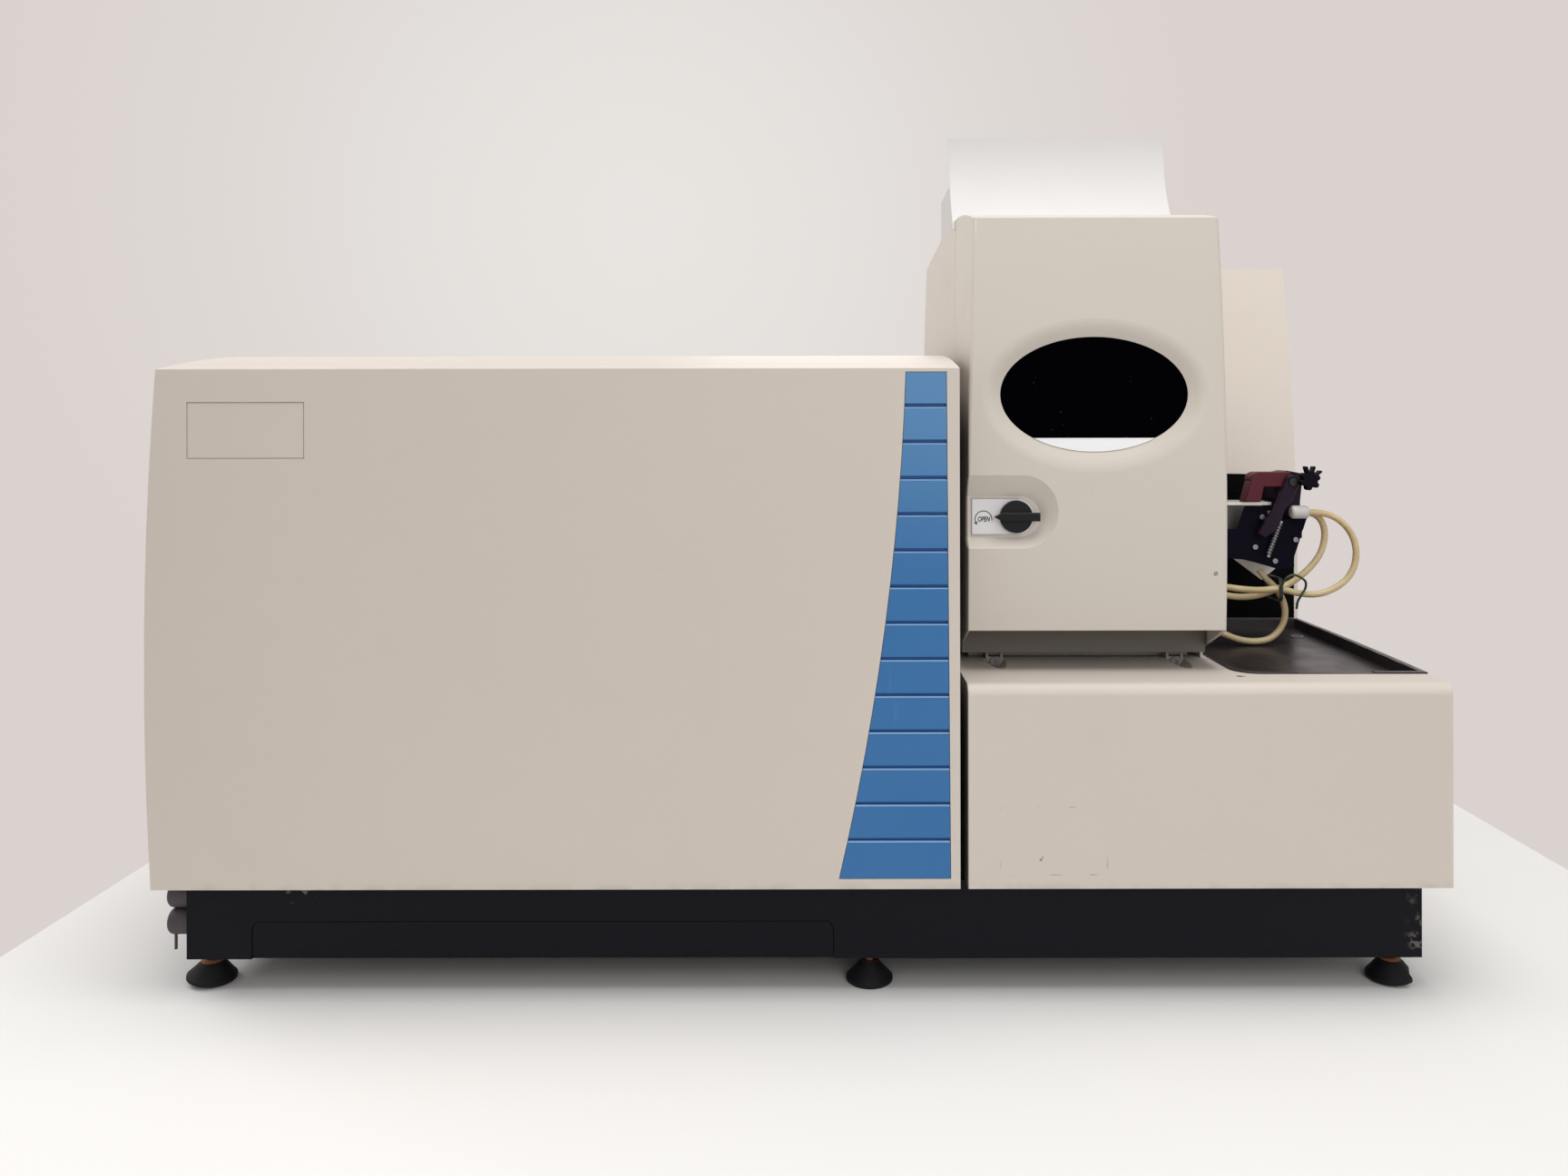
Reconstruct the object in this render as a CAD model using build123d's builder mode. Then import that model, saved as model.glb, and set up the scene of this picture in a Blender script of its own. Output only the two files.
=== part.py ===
from build123d import *
import os
from math import cos, pi, radians, sin, sqrt, tan

os.makedirs("parts", exist_ok=True)

# A bench-top plasma mass spectrometer.  Millimetres, +X to the right, +Y to the back, +Z up.
# The origin is on the bench, under the middle of the cabinet.

# ------------------------------------------------------------------ driving dimensions
# Fits shared by all pieces
seat_gap = 0.3          # between two parts that are screwed together
running_gap = 0.05      # radial gap of a shaft in its hole
seam = 0.6              # between neighbouring covers
sheet = 3.0             # cover wall
past = 40.0             # how far a cutting solid runs past what it cuts

# Cabinet
cabinet_depth = 650.0
foot_height = 39.0
plinth_height = 85.0
plinth_left = -676.0
plinth_right = 671.0
plinth_setback = 25.0
plinth_rim = 45.0
panel_left = -605.0
panel_right = 30.0
panel_height = 39.0
panel_corner = 10.0
panel_gap = 1.2

# Left housing, crowned on its top and its outer side
left_bulge_x = -707.5
left_bulge_height = 275.0
left_top_x = -695.0
left_bottom_x = -701.0
left_inner_x = 165.0
left_front_height = 557.0
left_crown_rise = 30.3
left_crown_depth = 303.0
left_back_drop = 9.4
cover_return = 40.0
top_cover_height = 532.0

# Badge recess and ribbed strip on the left front panel
badge_left = -662.0
badge_bottom = 585.0
badge_width = 126.0
badge_height = 61.0
badge_depth = 0.8
badge_groove = 1.2
strip_bottom = 135.0
strip_top = 677.0
strip_right_bottom = 154.7
strip_right_top = 151.0
strip_left_bottom = 35.3
strip_left_top = 107.5
strip_left_sag = 13.6
strip_count = 14
strip_sunk = 2.0
strip_groove = 5.0
strip_groove_depth = 5.0

# Right base housing with the spill tray
right_inner_x = 173.0
right_front_x = 692.0
right_bulge_x = 707.5
right_back_x = 706.0
base_height = 218.0
base_edge_radius = 12.0
tray_left = 480.0
tray_front = 55.0
tray_back = 444.0
tray_floor_depth = 12.0
tray_wall = 2.0
tray_rim = 7.0
tray_rim_thick = 2.0
tray_corner = 30.0
tray_right_margin = 2.0
notch_left = 547.0
notch_width = 89.0
drain_x = 673.0
drain_depth = 365.0
drain_radius = 8.5

# Torch box: fixed cover behind, tilting door in front
box_centre_x = 327.0
box_bottom_half = 147.3
box_middle_half = 145.0
box_top_half = 137.5
box_middle_height = 278.0
box_top_height = 542.0
hinge_depth = 154.0
hinge_height = 11.0
seam_top_depth = 240.0
door_seam = 1.5
door_wall = 4.0
door_lip_depth = 68.0
door_lip_height = 47.0
door_bulge = 7.0
door_bulge_height = 278.0
door_top_height = 512.0
door_edge_radius = 4.0
bulkhead_depth = 135.0
bulkhead_thick = 2.0
bulkhead_height = 42.0
liner_gap = 5.0
liner_front_depth = 166.0
liner_back_depth = 475.0
liner_height = 497.0
liner_wall = 2.0
liner_door_margin = 16.0
liner_door_sill = 62.0
liner_door_top = 455.0

# Window in the door
window_x = 325.0
window_z = 655.0
window_half_width = 106.0
window_half_height = 65.0
window_slope = 17.0
window_depth = 9.0
window_lip = 2.5
window_blend = 26.0
glass_thick = 4.0
sill_z = 606.0

# Latch in its pocket at the door's left edge
pocket_x = 242.0
pocket_z = 522.0
pocket_radius = 43.8
pocket_floor_radius = 23.0
pocket_depth = 14.0
latch_x = 237.0
latch_z = 517.0
latch_plate_left = 187.0
latch_plate_radius = 20.5
latch_plate_thick = 1.5
knob_radius = 18.4
knob_base = 5.0
wing_length = 52.0
wing_width = 9.6
wing_height = 11.0
spindle_radius = 4.0
spindle_reach = 16.0
bar_length = 30.0
bar_width = 8.0
bar_thick = 5.0
keeper_gap = 3.0
keeper_thick = 3.0

# Door hinges
hinge_left_x = 223.0
hinge_spacing = 215.0
lug_radius = 8.0
lug_width = 13.0
pin_radius = 3.0
ear_thick = 3.0
ear_gap = 0.5
arm_height = 88.0
arm_reach = 66.0
arm_thick = 14.0
groove_radius = 12.5
groove_depth = 10.5
groove_run = 62.0
groove_wall = 6.0
tab_thick = 3.0
tab_width = 20.0
hinge_screw_radius = 5.0

# Chimney
duct_front_depth = 305.0
duct_height = 67.0
duct_wall = 2.0
flue_radius = 191.5
chimney_top = 1002.0
chimney_left = 187.0
chimney_right = 470.0
chimney_sheet = 3.0
chimney_front_depth = 110.0

# Rear tower
tower_left = 478.0
tower_front_depth = 447.0
tower_bottom_x = 707.0
tower_middle_x = 704.0
tower_top_x = 686.0
tower_middle_height = 215.0
tower_height = 507.0
tower_corner = 6.0
bay_right = 701.0
bay_height = 207.0
bay_arch = 4.0
bay_thick = 2.0

# Peristaltic pump on the tower
pump_x = 610.0
pump_z = 468.0
pump_front_depth = 300.0
pump_plate_thick = 4.0
pump_width = 44.0
rotor_radius = 22.0
roller_radius = 4.5
roller_count = 6
pump_shaft_radius = 4.0
drive_radius = 30.0
drive_length = 75.0
pivot_x = 634.8
pivot_z = 547.3
lever_thick = 6.0
star_x = 652.8
star_z = 549.7
collar_z = 507.5
collar_left = 634.0
collar_right = 652.0
collar_radius = 8.6
collar_cap = 3.5
hose_radius = 4.25

# Ion path
ion_y = -25.0
ion_z = 630.0
chamber_left = -500.0
chamber_right = 118.0
chamber_width = 220.0
chamber_wall = 15.0
chamber_below = 80.0
chamber_above = 58.0
lid_thick = 12.0
turbo_spacing = 280.0
turbo_radius = 70.0
turbo_flange_radius = 85.0
turbo_length = 200.0
interface_radius = 58.0
interface_bore = 38.0
interface_right = 262.0
rod_radius = 7.0
rod_length = 220.0
rod_circle = 16.0
torch_left = 298.0
torch_right = 428.0
torch_radius = 10.0
coil_radius = 16.0
coil_wire = 1.6
coil_turns = 3
coil_pitch = 9.0

# Feet
foot_radius = 26.0
foot_ball_height = 12.0
foot_ball_radius = 6.0
stud_radius = 5.0
nut_width = 20.0
nut_height = 8.0
foot_inset_y = 35.0
foot_left_x = -665.0
foot_middle_x = 70.0
foot_right_x = 652.0

# ------------------------------------------------------------------ derived levels
front_y = -cabinet_depth / 2
back_y = cabinet_depth / 2
plinth_bottom = foot_height
deck_z = foot_height + plinth_height
left_front_z = deck_z + left_front_height
shelf_z = deck_z + base_height
tray_floor_z = shelf_z - tray_floor_depth
hinge_y = front_y + hinge_depth
hinge_z = shelf_z + hinge_height
box_top_z = shelf_z + box_top_height
seam_top_y = front_y + seam_top_depth
lip_y = front_y + door_lip_depth
lip_z = shelf_z + door_lip_height
door_top_z = shelf_z + door_top_height
tower_front_y = front_y + tower_front_depth
pump_front_y = front_y + pump_front_depth
pump_back_y = pump_front_y + pump_plate_thick + pump_width
chamber_bottom = ion_z - chamber_below
chamber_top = ion_z + chamber_above


# ------------------------------------------------------------------ shared planes and shapes
def facing_front(y):
    """Plane at depth y that looks to the front: local x is +X, local y is +Z."""
    return Plane(origin=(0, y, 0), x_dir=(1, 0, 0), z_dir=(0, -1, 0))


def facing_right(x):
    """Plane at x that looks to the right: local x is +Y, local y is +Z."""
    return Plane(origin=(x, 0, 0), x_dir=(0, 1, 0), z_dir=(1, 0, 0))


def facing_up(z):
    """Plane at height z that looks up."""
    return Plane.XY.offset(z)


def block(x, y, z, mode=Mode.ADD):
    """Box between pairs of x, y and z limits, in the part that is being built."""
    with Locations(((x[0] + x[1]) / 2, (y[0] + y[1]) / 2, (z[0] + z[1]) / 2)):
        return Box(x[1] - x[0], y[1] - y[0], z[1] - z[0], mode=mode)


def rod(radius, start, end, mode=Mode.ADD):
    """Round bar between two points on a line along one of the axes."""
    line = Vector(*end) - Vector(*start)
    with BuildSketch(Plane(origin=start, z_dir=line)) as section:
        Circle(radius)
    return extrude(section.sketch, amount=line.length, mode=mode)


def keep(piece, label):
    """Name a finished piece and write its file."""
    piece.part.label = label
    export_step(piece.part, f"parts/{label}.step")


def left_volume(inset):
    """Crowned block of the left housing with its walls, not its bottom, moved in."""
    crown_peak = left_front_z + left_crown_rise - inset
    with BuildPart() as volume:
        with BuildSketch(facing_front(front_y + inset)):
            with BuildLine():
                Polyline(
                    (left_bottom_x + inset, deck_z),
                    (left_inner_x - inset, deck_z),
                    (left_inner_x - inset, left_front_z + past),
                    (left_top_x + inset, left_front_z + past),
                    (left_top_x + inset, left_front_z),
                )
                ThreePointArc(
                    (left_top_x + inset, left_front_z),
                    (left_bulge_x + inset, deck_z + left_bulge_height),
                    (left_bottom_x + inset, deck_z),
                )
            make_face()
        extrude(amount=-(cabinet_depth - 2 * inset))
        with BuildSketch(facing_right(left_bulge_x)):
            with BuildLine():
                Polyline(
                    (front_y, left_front_z - inset),
                    (front_y, deck_z - 1),
                    (back_y, deck_z - 1),
                    (back_y, left_front_z - left_back_drop - inset),
                )
                ThreePointArc(
                    (back_y, left_front_z - left_back_drop - inset),
                    (front_y + left_crown_depth, crown_peak),
                    (front_y, left_front_z - inset),
                )
            make_face()
        extrude(amount=left_inner_x - left_bulge_x, mode=Mode.INTERSECT)
    return volume.part


def left_shell():
    """Thin walls of the left housing with a flange round its open bottom."""
    with BuildPart() as shell:
        add(left_volume(0))
        add(left_volume(sheet), mode=Mode.SUBTRACT)
        with BuildSketch(facing_up(deck_z)):
            with Locations(((left_bottom_x + left_inner_x) / 2, 0)):
                Rectangle(left_inner_x - left_bottom_x - 2, cabinet_depth - 2)
        extrude(amount=sheet)
        block(
            (left_bottom_x + 60, left_inner_x - 35),
            (front_y + 60, back_y - 60),
            (deck_z - 1, deck_z + sheet + 1),
            mode=Mode.SUBTRACT,
        )
    return shell.part


def box_profile(inset):
    """Front view of the torch box: sides that lean in and bow a little."""
    half = (box_bottom_half - inset, box_middle_half - inset, box_top_half - inset)
    middle_z = shelf_z + box_middle_height
    with BuildSketch() as profile:
        with BuildLine():
            Line((box_centre_x - half[0], shelf_z), (box_centre_x + half[0], shelf_z))
            ThreePointArc(
                (box_centre_x + half[0], shelf_z),
                (box_centre_x + half[1], middle_z),
                (box_centre_x + half[2], box_top_z),
            )
            Polyline(
                (box_centre_x + half[2], box_top_z),
                (box_centre_x + half[2], box_top_z + past),
                (box_centre_x - half[2], box_top_z + past),
                (box_centre_x - half[2], box_top_z),
            )
            ThreePointArc(
                (box_centre_x - half[2], box_top_z),
                (box_centre_x - half[1], middle_z),
                (box_centre_x - half[0], shelf_z),
            )
        make_face()
    return profile.sketch


def seam_y(z):
    """Depth of the line between door and torch box cover at height z."""
    return hinge_y + (z - hinge_z) * (seam_top_y - hinge_y) / (box_top_z - hinge_z)


# ------------------------------------------------------------------ plinth
panel_top = plinth_bottom + panel_height + 2
plinth_front_y = front_y + plinth_setback
plinth_back_y = back_y - plinth_setback
foot_xs = (foot_left_x, foot_middle_x, foot_right_x)
foot_front_y = plinth_front_y + foot_inset_y
foot_ys = (foot_front_y, -foot_front_y)
stud_top = plinth_bottom + 12.0

with BuildPart() as plinth:
    block((plinth_left, plinth_right), (plinth_front_y, plinth_back_y), (plinth_bottom, deck_z))
    block(
        (plinth_left + sheet, plinth_right - sheet),
        (plinth_front_y + sheet, plinth_back_y - sheet),
        (plinth_bottom + sheet, deck_z - sheet),
        mode=Mode.SUBTRACT,
    )
    block(
        (plinth_left + plinth_rim, plinth_right - plinth_rim),
        (plinth_front_y + plinth_rim, plinth_back_y - plinth_rim),
        (deck_z - 2 * sheet, deck_z + 1),
        mode=Mode.SUBTRACT,
    )
    with BuildSketch(facing_front(plinth_front_y - 1)):
        with Locations(((panel_left + panel_right) / 2, plinth_bottom + panel_height / 2)):
            RectangleRounded(panel_right - panel_left, panel_height + 4, panel_corner)
        with Locations(((panel_left + panel_right) / 2, plinth_bottom + panel_height / 4)):
            Rectangle(panel_right - panel_left, panel_height / 2 + 20)
    extrude(amount=-(sheet + 1), mode=Mode.SUBTRACT)
    with Locations([(x, y, plinth_bottom) for x in foot_xs for y in foot_ys]):
        Cylinder(stud_radius + seat_gap, 3 * sheet, mode=Mode.SUBTRACT)
keep(plinth, "plinth")

with BuildPart() as plinth_access_panel:
    with BuildSketch(facing_front(plinth_front_y)):
        with Locations(((panel_left + panel_right) / 2, (plinth_bottom + sheet + panel_top) / 2)):
            Rectangle(panel_right - panel_left - 2 * panel_gap, panel_top - plinth_bottom - sheet - panel_gap)
        fillet(vertices().group_by(Axis.Y)[-1], panel_corner - panel_gap)
    extrude(amount=-sheet)
    block(
        (panel_left - 12, panel_right + 12),
        (plinth_front_y + sheet, plinth_front_y + sheet + 2),
        (plinth_bottom + sheet + seat_gap, panel_top + 12),
    )
keep(plinth_access_panel, "plinth_access_panel")

cap_y = front_y + 45.0
cap_zs = (74.0, 103.5)
cap_radius = 14.5
cap_reach = 27.0
with BuildPart() as side_caps:
    for z in cap_zs:
        with BuildSketch(facing_right(plinth_left)):
            with Locations((cap_y, z)):
                Circle(cap_radius)
        extrude(amount=-cap_reach)
    fillet(edges().filter_by(GeomType.CIRCLE).group_by(Axis.X)[0], 6.0)
    rod(1.6, (plinth_left - cap_reach + 8, cap_y - 6, 44.5), (plinth_left - cap_reach + 8, cap_y - 6, cap_zs[0]))
keep(side_caps, "side_caps")

# ------------------------------------------------------------------ levelling feet
# Each rubber cone sits on the ball end of its stud; a cone can stand tipped on its rim.
foot_tips = {(0, 0): 7.0, (2, 0): -6.0}


def foot_ball_z(tip):
    """Height of the ball's centre when the cone is tipped onto its rim."""
    return foot_ball_height * cos(radians(tip)) + foot_radius * sin(radians(abs(tip)))


def foot_cone(x, y, tip, broken):
    """One rubber cone with its socket; a broken one has lost part of its skirt."""
    with BuildPart() as cone:
        with BuildSketch(Plane.XZ):
            with BuildLine():
                Polyline(
                    (0, 0), (foot_radius - 2, 0), (foot_radius, 1.5), (foot_radius, 5), (23, 8),
                    (11.5, 21), (9.5, 23.5), (0, 23.5), close=True,
                )
            make_face()
        revolve(axis=Axis.Z)
        with Locations((0, 0, foot_ball_height)):
            Sphere(foot_ball_radius + seat_gap, mode=Mode.SUBTRACT)
        with Locations((0, 0, foot_ball_height + 7)):
            Cylinder(7.0, 14, mode=Mode.SUBTRACT)
        if broken:
            with BuildSketch(Plane.XY):
                with BuildLine():
                    Polyline(
                        (13, -30), (15, -20), (12, -14), (18, -8), (14.5, -3), (19, 3), (16, 9),
                        (19, 15), (15, 30), (30, 30), (30, -30), close=True,
                    )
                make_face()
            extrude(amount=16, mode=Mode.SUBTRACT)
    ball = Pos(x, y, foot_ball_z(tip))
    return ball * Rot(0, tip, 0) * Pos(0, 0, -foot_ball_height) * cone.part


with BuildPart() as foot_pads:
    for i, x in enumerate(foot_xs):
        for j, y in enumerate(foot_ys):
            add(foot_cone(x, y, foot_tips.get((i, j), 0.0), broken=(i, j) == (2, 0)))
keep(foot_pads, "foot_pads")

with BuildPart() as foot_studs:
    for i, x in enumerate(foot_xs):
        for j, y in enumerate(foot_ys):
            ball_z = foot_ball_z(foot_tips.get((i, j), 0.0))
            with Locations((x, y, ball_z)):
                Sphere(foot_ball_radius)
            rod(stud_radius, (x, y, ball_z), (x, y, stud_top))
            with BuildSketch(facing_up(plinth_bottom - nut_height)):
                with Locations((x, y)):
                    RegularPolygon(nut_width / 2, 6, major_radius=False)
            extrude(amount=nut_height)
keep(foot_studs, "foot_studs")

# ------------------------------------------------------------------ left housing covers
shell_left = left_shell()
split_y = front_y + cover_return
split_back_y = back_y - cover_return
split_z = deck_z + top_cover_height
far = cabinet_depth * 2
strip_points = (
    (strip_left_bottom, strip_bottom),
    (strip_right_bottom, strip_bottom),
    (strip_right_top, strip_top),
    (strip_left_top, strip_top),
)
strip_chord = Vector(strip_left_top - strip_left_bottom, strip_top - strip_bottom)
strip_middle = (
    (strip_left_bottom + strip_left_top) / 2 + strip_left_sag * strip_chord.Y / strip_chord.length,
    (strip_bottom + strip_top) / 2 - strip_left_sag * strip_chord.X / strip_chord.length,
)


def strip_outline(grow):
    """Outline of the ribbed strip, grown or shrunk all round."""
    with BuildSketch() as outline:
        with BuildLine():
            Polyline(strip_points[0], strip_points[1], strip_points[2], strip_points[3])
            ThreePointArc(strip_points[3], strip_middle, strip_points[0])
        make_face()
        if grow:
            offset(amount=grow, kind=Kind.INTERSECTION)
    return outline.sketch


with BuildPart() as left_front_panel:
    add(shell_left)
    block((-far, far), (front_y - past, split_y), (deck_z - 1, far), mode=Mode.INTERSECT)
    chamfer(edges().filter_by(Axis.Z).sort_by(Axis.X)[-1:].sort_by(Axis.Y)[:1], 2.0)
    # backing web behind the strip, so that its pocket keeps a full wall
    with BuildSketch(facing_front(front_y + sheet)):
        add(strip_outline(3.0))
    extrude(amount=-strip_groove_depth - strip_sunk)
    with BuildSketch(facing_front(front_y - 1)):
        add(strip_outline(seat_gap))
    extrude(amount=-(1 + strip_sunk + strip_groove_depth), mode=Mode.SUBTRACT)
    with BuildSketch(facing_front(front_y - 1)):
        with Locations((badge_left + badge_width / 2, badge_bottom + badge_height / 2)):
            Rectangle(badge_width, badge_height)
    extrude(amount=-(1 + badge_depth), mode=Mode.SUBTRACT)
    with BuildSketch(facing_front(front_y - 1)):
        with Locations((badge_left + badge_width / 2, badge_bottom + badge_height / 2)):
            Rectangle(badge_width, badge_height)
            Rectangle(badge_width - 2 * badge_groove, badge_height - 2 * badge_groove, mode=Mode.SUBTRACT)
    extrude(amount=-(1 + badge_depth + 1), mode=Mode.SUBTRACT)
keep(left_front_panel, "left_front_panel")

# The strip has one step per segment: a dark undercut above, a bright lip below.
strip_pitch = (strip_top - strip_bottom) / strip_count
with BuildPart() as accent_strip:
    with BuildSketch(facing_front(front_y + 0.2)):
        add(strip_outline(-seat_gap))
    extrude(amount=-(strip_sunk + strip_groove_depth - 0.2))
    with BuildSketch(facing_right(strip_left_bottom - past)):
        for i in range(1, strip_count):
            groove_z = strip_bottom + i * strip_pitch
            with BuildLine():
                Polyline(
                    (front_y - 1, groove_z - 0.5),
                    (front_y + 0.2, groove_z),
                    (front_y + strip_groove_depth, groove_z + strip_groove * 0.45),
                    (front_y + strip_groove_depth, groove_z + strip_groove),
                    (front_y - 1, groove_z + strip_groove),
                    close=True,
                )
            make_face()
    extrude(amount=strip_right_bottom - strip_left_bottom + 2 * past, mode=Mode.SUBTRACT)
keep(accent_strip, "accent_strip")

with BuildPart() as left_top_cover:
    add(shell_left)
    block((-far, far), (split_y + seam, split_back_y - seam), (split_z + seam, far), mode=Mode.INTERSECT)
    rod(interface_radius + 2, (left_inner_x - 2 * sheet, ion_y, ion_z), (left_inner_x + 1, ion_y, ion_z), mode=Mode.SUBTRACT)
keep(left_top_cover, "left_top_cover")

# Outer side cover and the plain inner wall beside the torch box, one solid each.
with BuildPart() as left_side_covers:
    add(shell_left)
    block((-far, far), (split_y + seam, split_back_y - seam), (deck_z - 1, split_z), mode=Mode.INTERSECT)
    block((left_bottom_x + 100, left_inner_x - 75), (split_y, split_back_y), (deck_z - 2, split_z + 1), mode=Mode.SUBTRACT)
    rod(interface_radius + 2, (left_inner_x - 2 * sheet, ion_y, ion_z), (left_inner_x + 1, ion_y, ion_z), mode=Mode.SUBTRACT)
keep(left_side_covers, "left_side_covers")

fan_x = -420.0
fan_z = 330.0
fan_size = 120.0
fan_depth = 38.0
fan_blades = 7
vent_slots = 9
with BuildPart() as left_rear_cover:
    add(shell_left)
    block((-far, far), (split_back_y, back_y + past), (deck_z - 1, far), mode=Mode.INTERSECT)
    with BuildSketch(facing_front(back_y - past)):
        with Locations((fan_x, fan_z)):
            Circle(fan_size / 2 - 4)
            with GridLocations(0, 12.0, 1, 10):
                Rectangle(fan_size, 2.4, mode=Mode.SUBTRACT)
            Rectangle(4, fan_size, mode=Mode.SUBTRACT)
        with Locations((fan_x + 320, fan_z)):
            with GridLocations(0, 14.0, 1, vent_slots):
                SlotOverall(160, 6)
    extrude(amount=-2 * past, mode=Mode.SUBTRACT)
keep(left_rear_cover, "left_rear_cover")

# ------------------------------------------------------------------ right base housing and tray
tray_y = (front_y + tray_front, front_y + tray_back)
groove_end_y = hinge_y - 3.0
hinge_xs = (hinge_left_x, hinge_left_x + hinge_spacing)


def right_outline(inset):
    """Plan of the right base housing: a bowed right side."""
    with BuildSketch() as outline:
        with BuildLine():
            Polyline(
                (right_front_x - inset, front_y + inset),
                (right_inner_x + inset, front_y + inset),
                (right_inner_x + inset, back_y - inset),
                (right_back_x - inset, back_y - inset),
            )
            ThreePointArc(
                (right_back_x - inset, back_y - inset), (right_bulge_x - inset, 60), (right_front_x - inset, front_y + inset)
            )
        make_face()
    return outline.sketch


def tray_outline(inset):
    """Plan of the tray: its right edge follows the housing's side."""
    with BuildSketch() as outline:
        add(right_outline(tray_right_margin + inset))
        with Locations(((tray_left + inset + far) / 2, (tray_y[0] + tray_y[1]) / 2)):
            Rectangle(far - tray_left - inset, tray_y[1] - tray_y[0] - 2 * inset, mode=Mode.INTERSECT)
        fillet(vertices().group_by(Axis.X)[0].sort_by(Axis.Y)[0], tray_corner - inset)
    return outline.sketch


with BuildPart() as right_base_cover:
    with BuildSketch(facing_up(deck_z)):
        add(right_outline(0))
    extrude(amount=base_height)
    top_front = edges().filter_by(Axis.X).group_by(Axis.Z)[-1].sort_by(Axis.Y)[0]
    fillet(top_front, base_edge_radius)
    with BuildSketch(facing_up(deck_z + sheet)):
        add(right_outline(sheet))
    extrude(amount=base_height - 2 * sheet - base_edge_radius, mode=Mode.SUBTRACT)
    with BuildSketch(facing_up(deck_z + base_height - sheet - base_edge_radius)):
        add(right_outline(sheet))
        with Locations((0, front_y)):
            Rectangle(2 * far, 2 * (base_edge_radius + sheet), mode=Mode.SUBTRACT)
    extrude(amount=base_edge_radius, mode=Mode.SUBTRACT)
    block(
        (right_inner_x + 35, right_front_x - 50), (front_y + 60, back_y - 60), (deck_z - 1, deck_z + sheet + 1),
        mode=Mode.SUBTRACT,
    )
    # half-round screwdriver grooves in front of the hinges, in bosses under the top
    for x in hinge_xs:
        block(
            (x - groove_radius - groove_wall, x + groove_radius + groove_wall),
            (groove_end_y - groove_run, groove_end_y + groove_wall),
            (shelf_z - groove_depth - groove_wall, shelf_z - sheet / 2),
        )
        groove_z = shelf_z + groove_radius - groove_depth
        rod(groove_radius, (x, groove_end_y, groove_z), (x, groove_end_y - 8, groove_z), mode=Mode.SUBTRACT)
        rod(
            groove_radius, (x, groove_end_y - 5, groove_z), (x, groove_end_y - groove_run, shelf_z + groove_radius),
            mode=Mode.SUBTRACT,
        )
    # hole for the tray pan
    with BuildSketch(facing_up(shelf_z - 2 * sheet)):
        add(tray_outline(tray_rim - tray_wall - 1))
    extrude(amount=past, mode=Mode.SUBTRACT)
keep(right_base_cover, "right_base_cover")

with BuildPart() as spill_tray:
    with BuildSketch(facing_up(shelf_z)):
        add(tray_outline(0))
    extrude(amount=tray_rim_thick)
    with BuildSketch(facing_up(tray_floor_z - tray_wall)):
        add(tray_outline(tray_rim - tray_wall))
    extrude(amount=tray_floor_depth + tray_wall)
    with BuildSketch(facing_up(tray_floor_z)):
        add(tray_outline(tray_rim))
    extrude(amount=past, mode=Mode.SUBTRACT)
    fillet(edges().group_by(Axis.Z)[-1], 0.8)
    with BuildSketch(facing_up(tray_floor_z - past)):
        with Locations((drain_x, front_y + drain_depth)):
            Circle(drain_radius - 2)
    extrude(amount=past * 2, mode=Mode.SUBTRACT)
    with BuildSketch(facing_front(tray_y[0] - 1)):
        with Locations((notch_left + notch_width / 2, shelf_z + tray_rim_thick + 3.6)):
            RectangleRounded(notch_width, 10, 4)
    extrude(amount=-(tray_rim + 2), mode=Mode.SUBTRACT)
keep(spill_tray, "spill_tray")

with BuildPart() as tray_drain:
    with BuildSketch(facing_up(tray_floor_z)):
        with Locations((drain_x, front_y + drain_depth)):
            Circle(drain_radius)
            Circle(drain_radius - 3.5, mode=Mode.SUBTRACT)
    extrude(amount=1.6)
    with BuildSketch(facing_up(tray_floor_z)):
        with Locations((drain_x, front_y + drain_depth)):
            Circle(drain_radius - 2 - running_gap)
            Circle(drain_radius - 3.5, mode=Mode.SUBTRACT)
    extrude(amount=-24)
keep(tray_drain, "tray_drain")

# ------------------------------------------------------------------ torch box, fixed part
def crown(y_start, z_start, y_end, z_end, rise):
    """Shallow arc between two points, bowed upwards."""
    ThreePointArc((y_start, z_start), ((y_start + y_end) / 2, (z_start + z_end) / 2 + rise), (y_end, z_end))


def box_side(inset, clearance):
    """Side view of the fixed torch box cover, from the seam to the back."""
    top = box_top_z - inset
    with BuildSketch() as side:
        with BuildLine():
            Line((seam_y(shelf_z) + clearance, shelf_z + seat_gap), (back_y - inset, shelf_z + seat_gap))
            Line((back_y - inset, shelf_z + seat_gap), (back_y - inset, top - 8))
            crown(back_y - inset, top - 8, seam_y(top) + clearance, top, 6)
            Line((seam_y(top) + clearance, top), (seam_y(shelf_z) + clearance, shelf_z + seat_gap))
        make_face()
    return side.sketch


def box_volume(inset, clearance):
    """Fixed torch box block with its sides, top and back moved in."""
    with BuildPart() as volume:
        with BuildSketch(facing_front(front_y - past)):
            add(box_profile(inset))
        extrude(amount=-(cabinet_depth + 2 * past))
        with BuildSketch(facing_right(0)):
            add(box_side(inset, clearance))
        extrude(amount=tower_left, mode=Mode.INTERSECT)
    return volume.part


duct_y = (front_y + duct_front_depth, front_y + liner_back_depth)
liner_x = (box_centre_x - box_top_half + liner_gap, box_centre_x + box_top_half - liner_gap)
liner_y = (front_y + liner_front_depth, front_y + liner_back_depth)
liner_z = (shelf_z + 1.0, shelf_z + liner_height)
port_ys = (ion_y - 22.0, ion_y - 7.0, ion_y + 14.0)
port_zs = (410.0, 399.0, 351.0)

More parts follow.
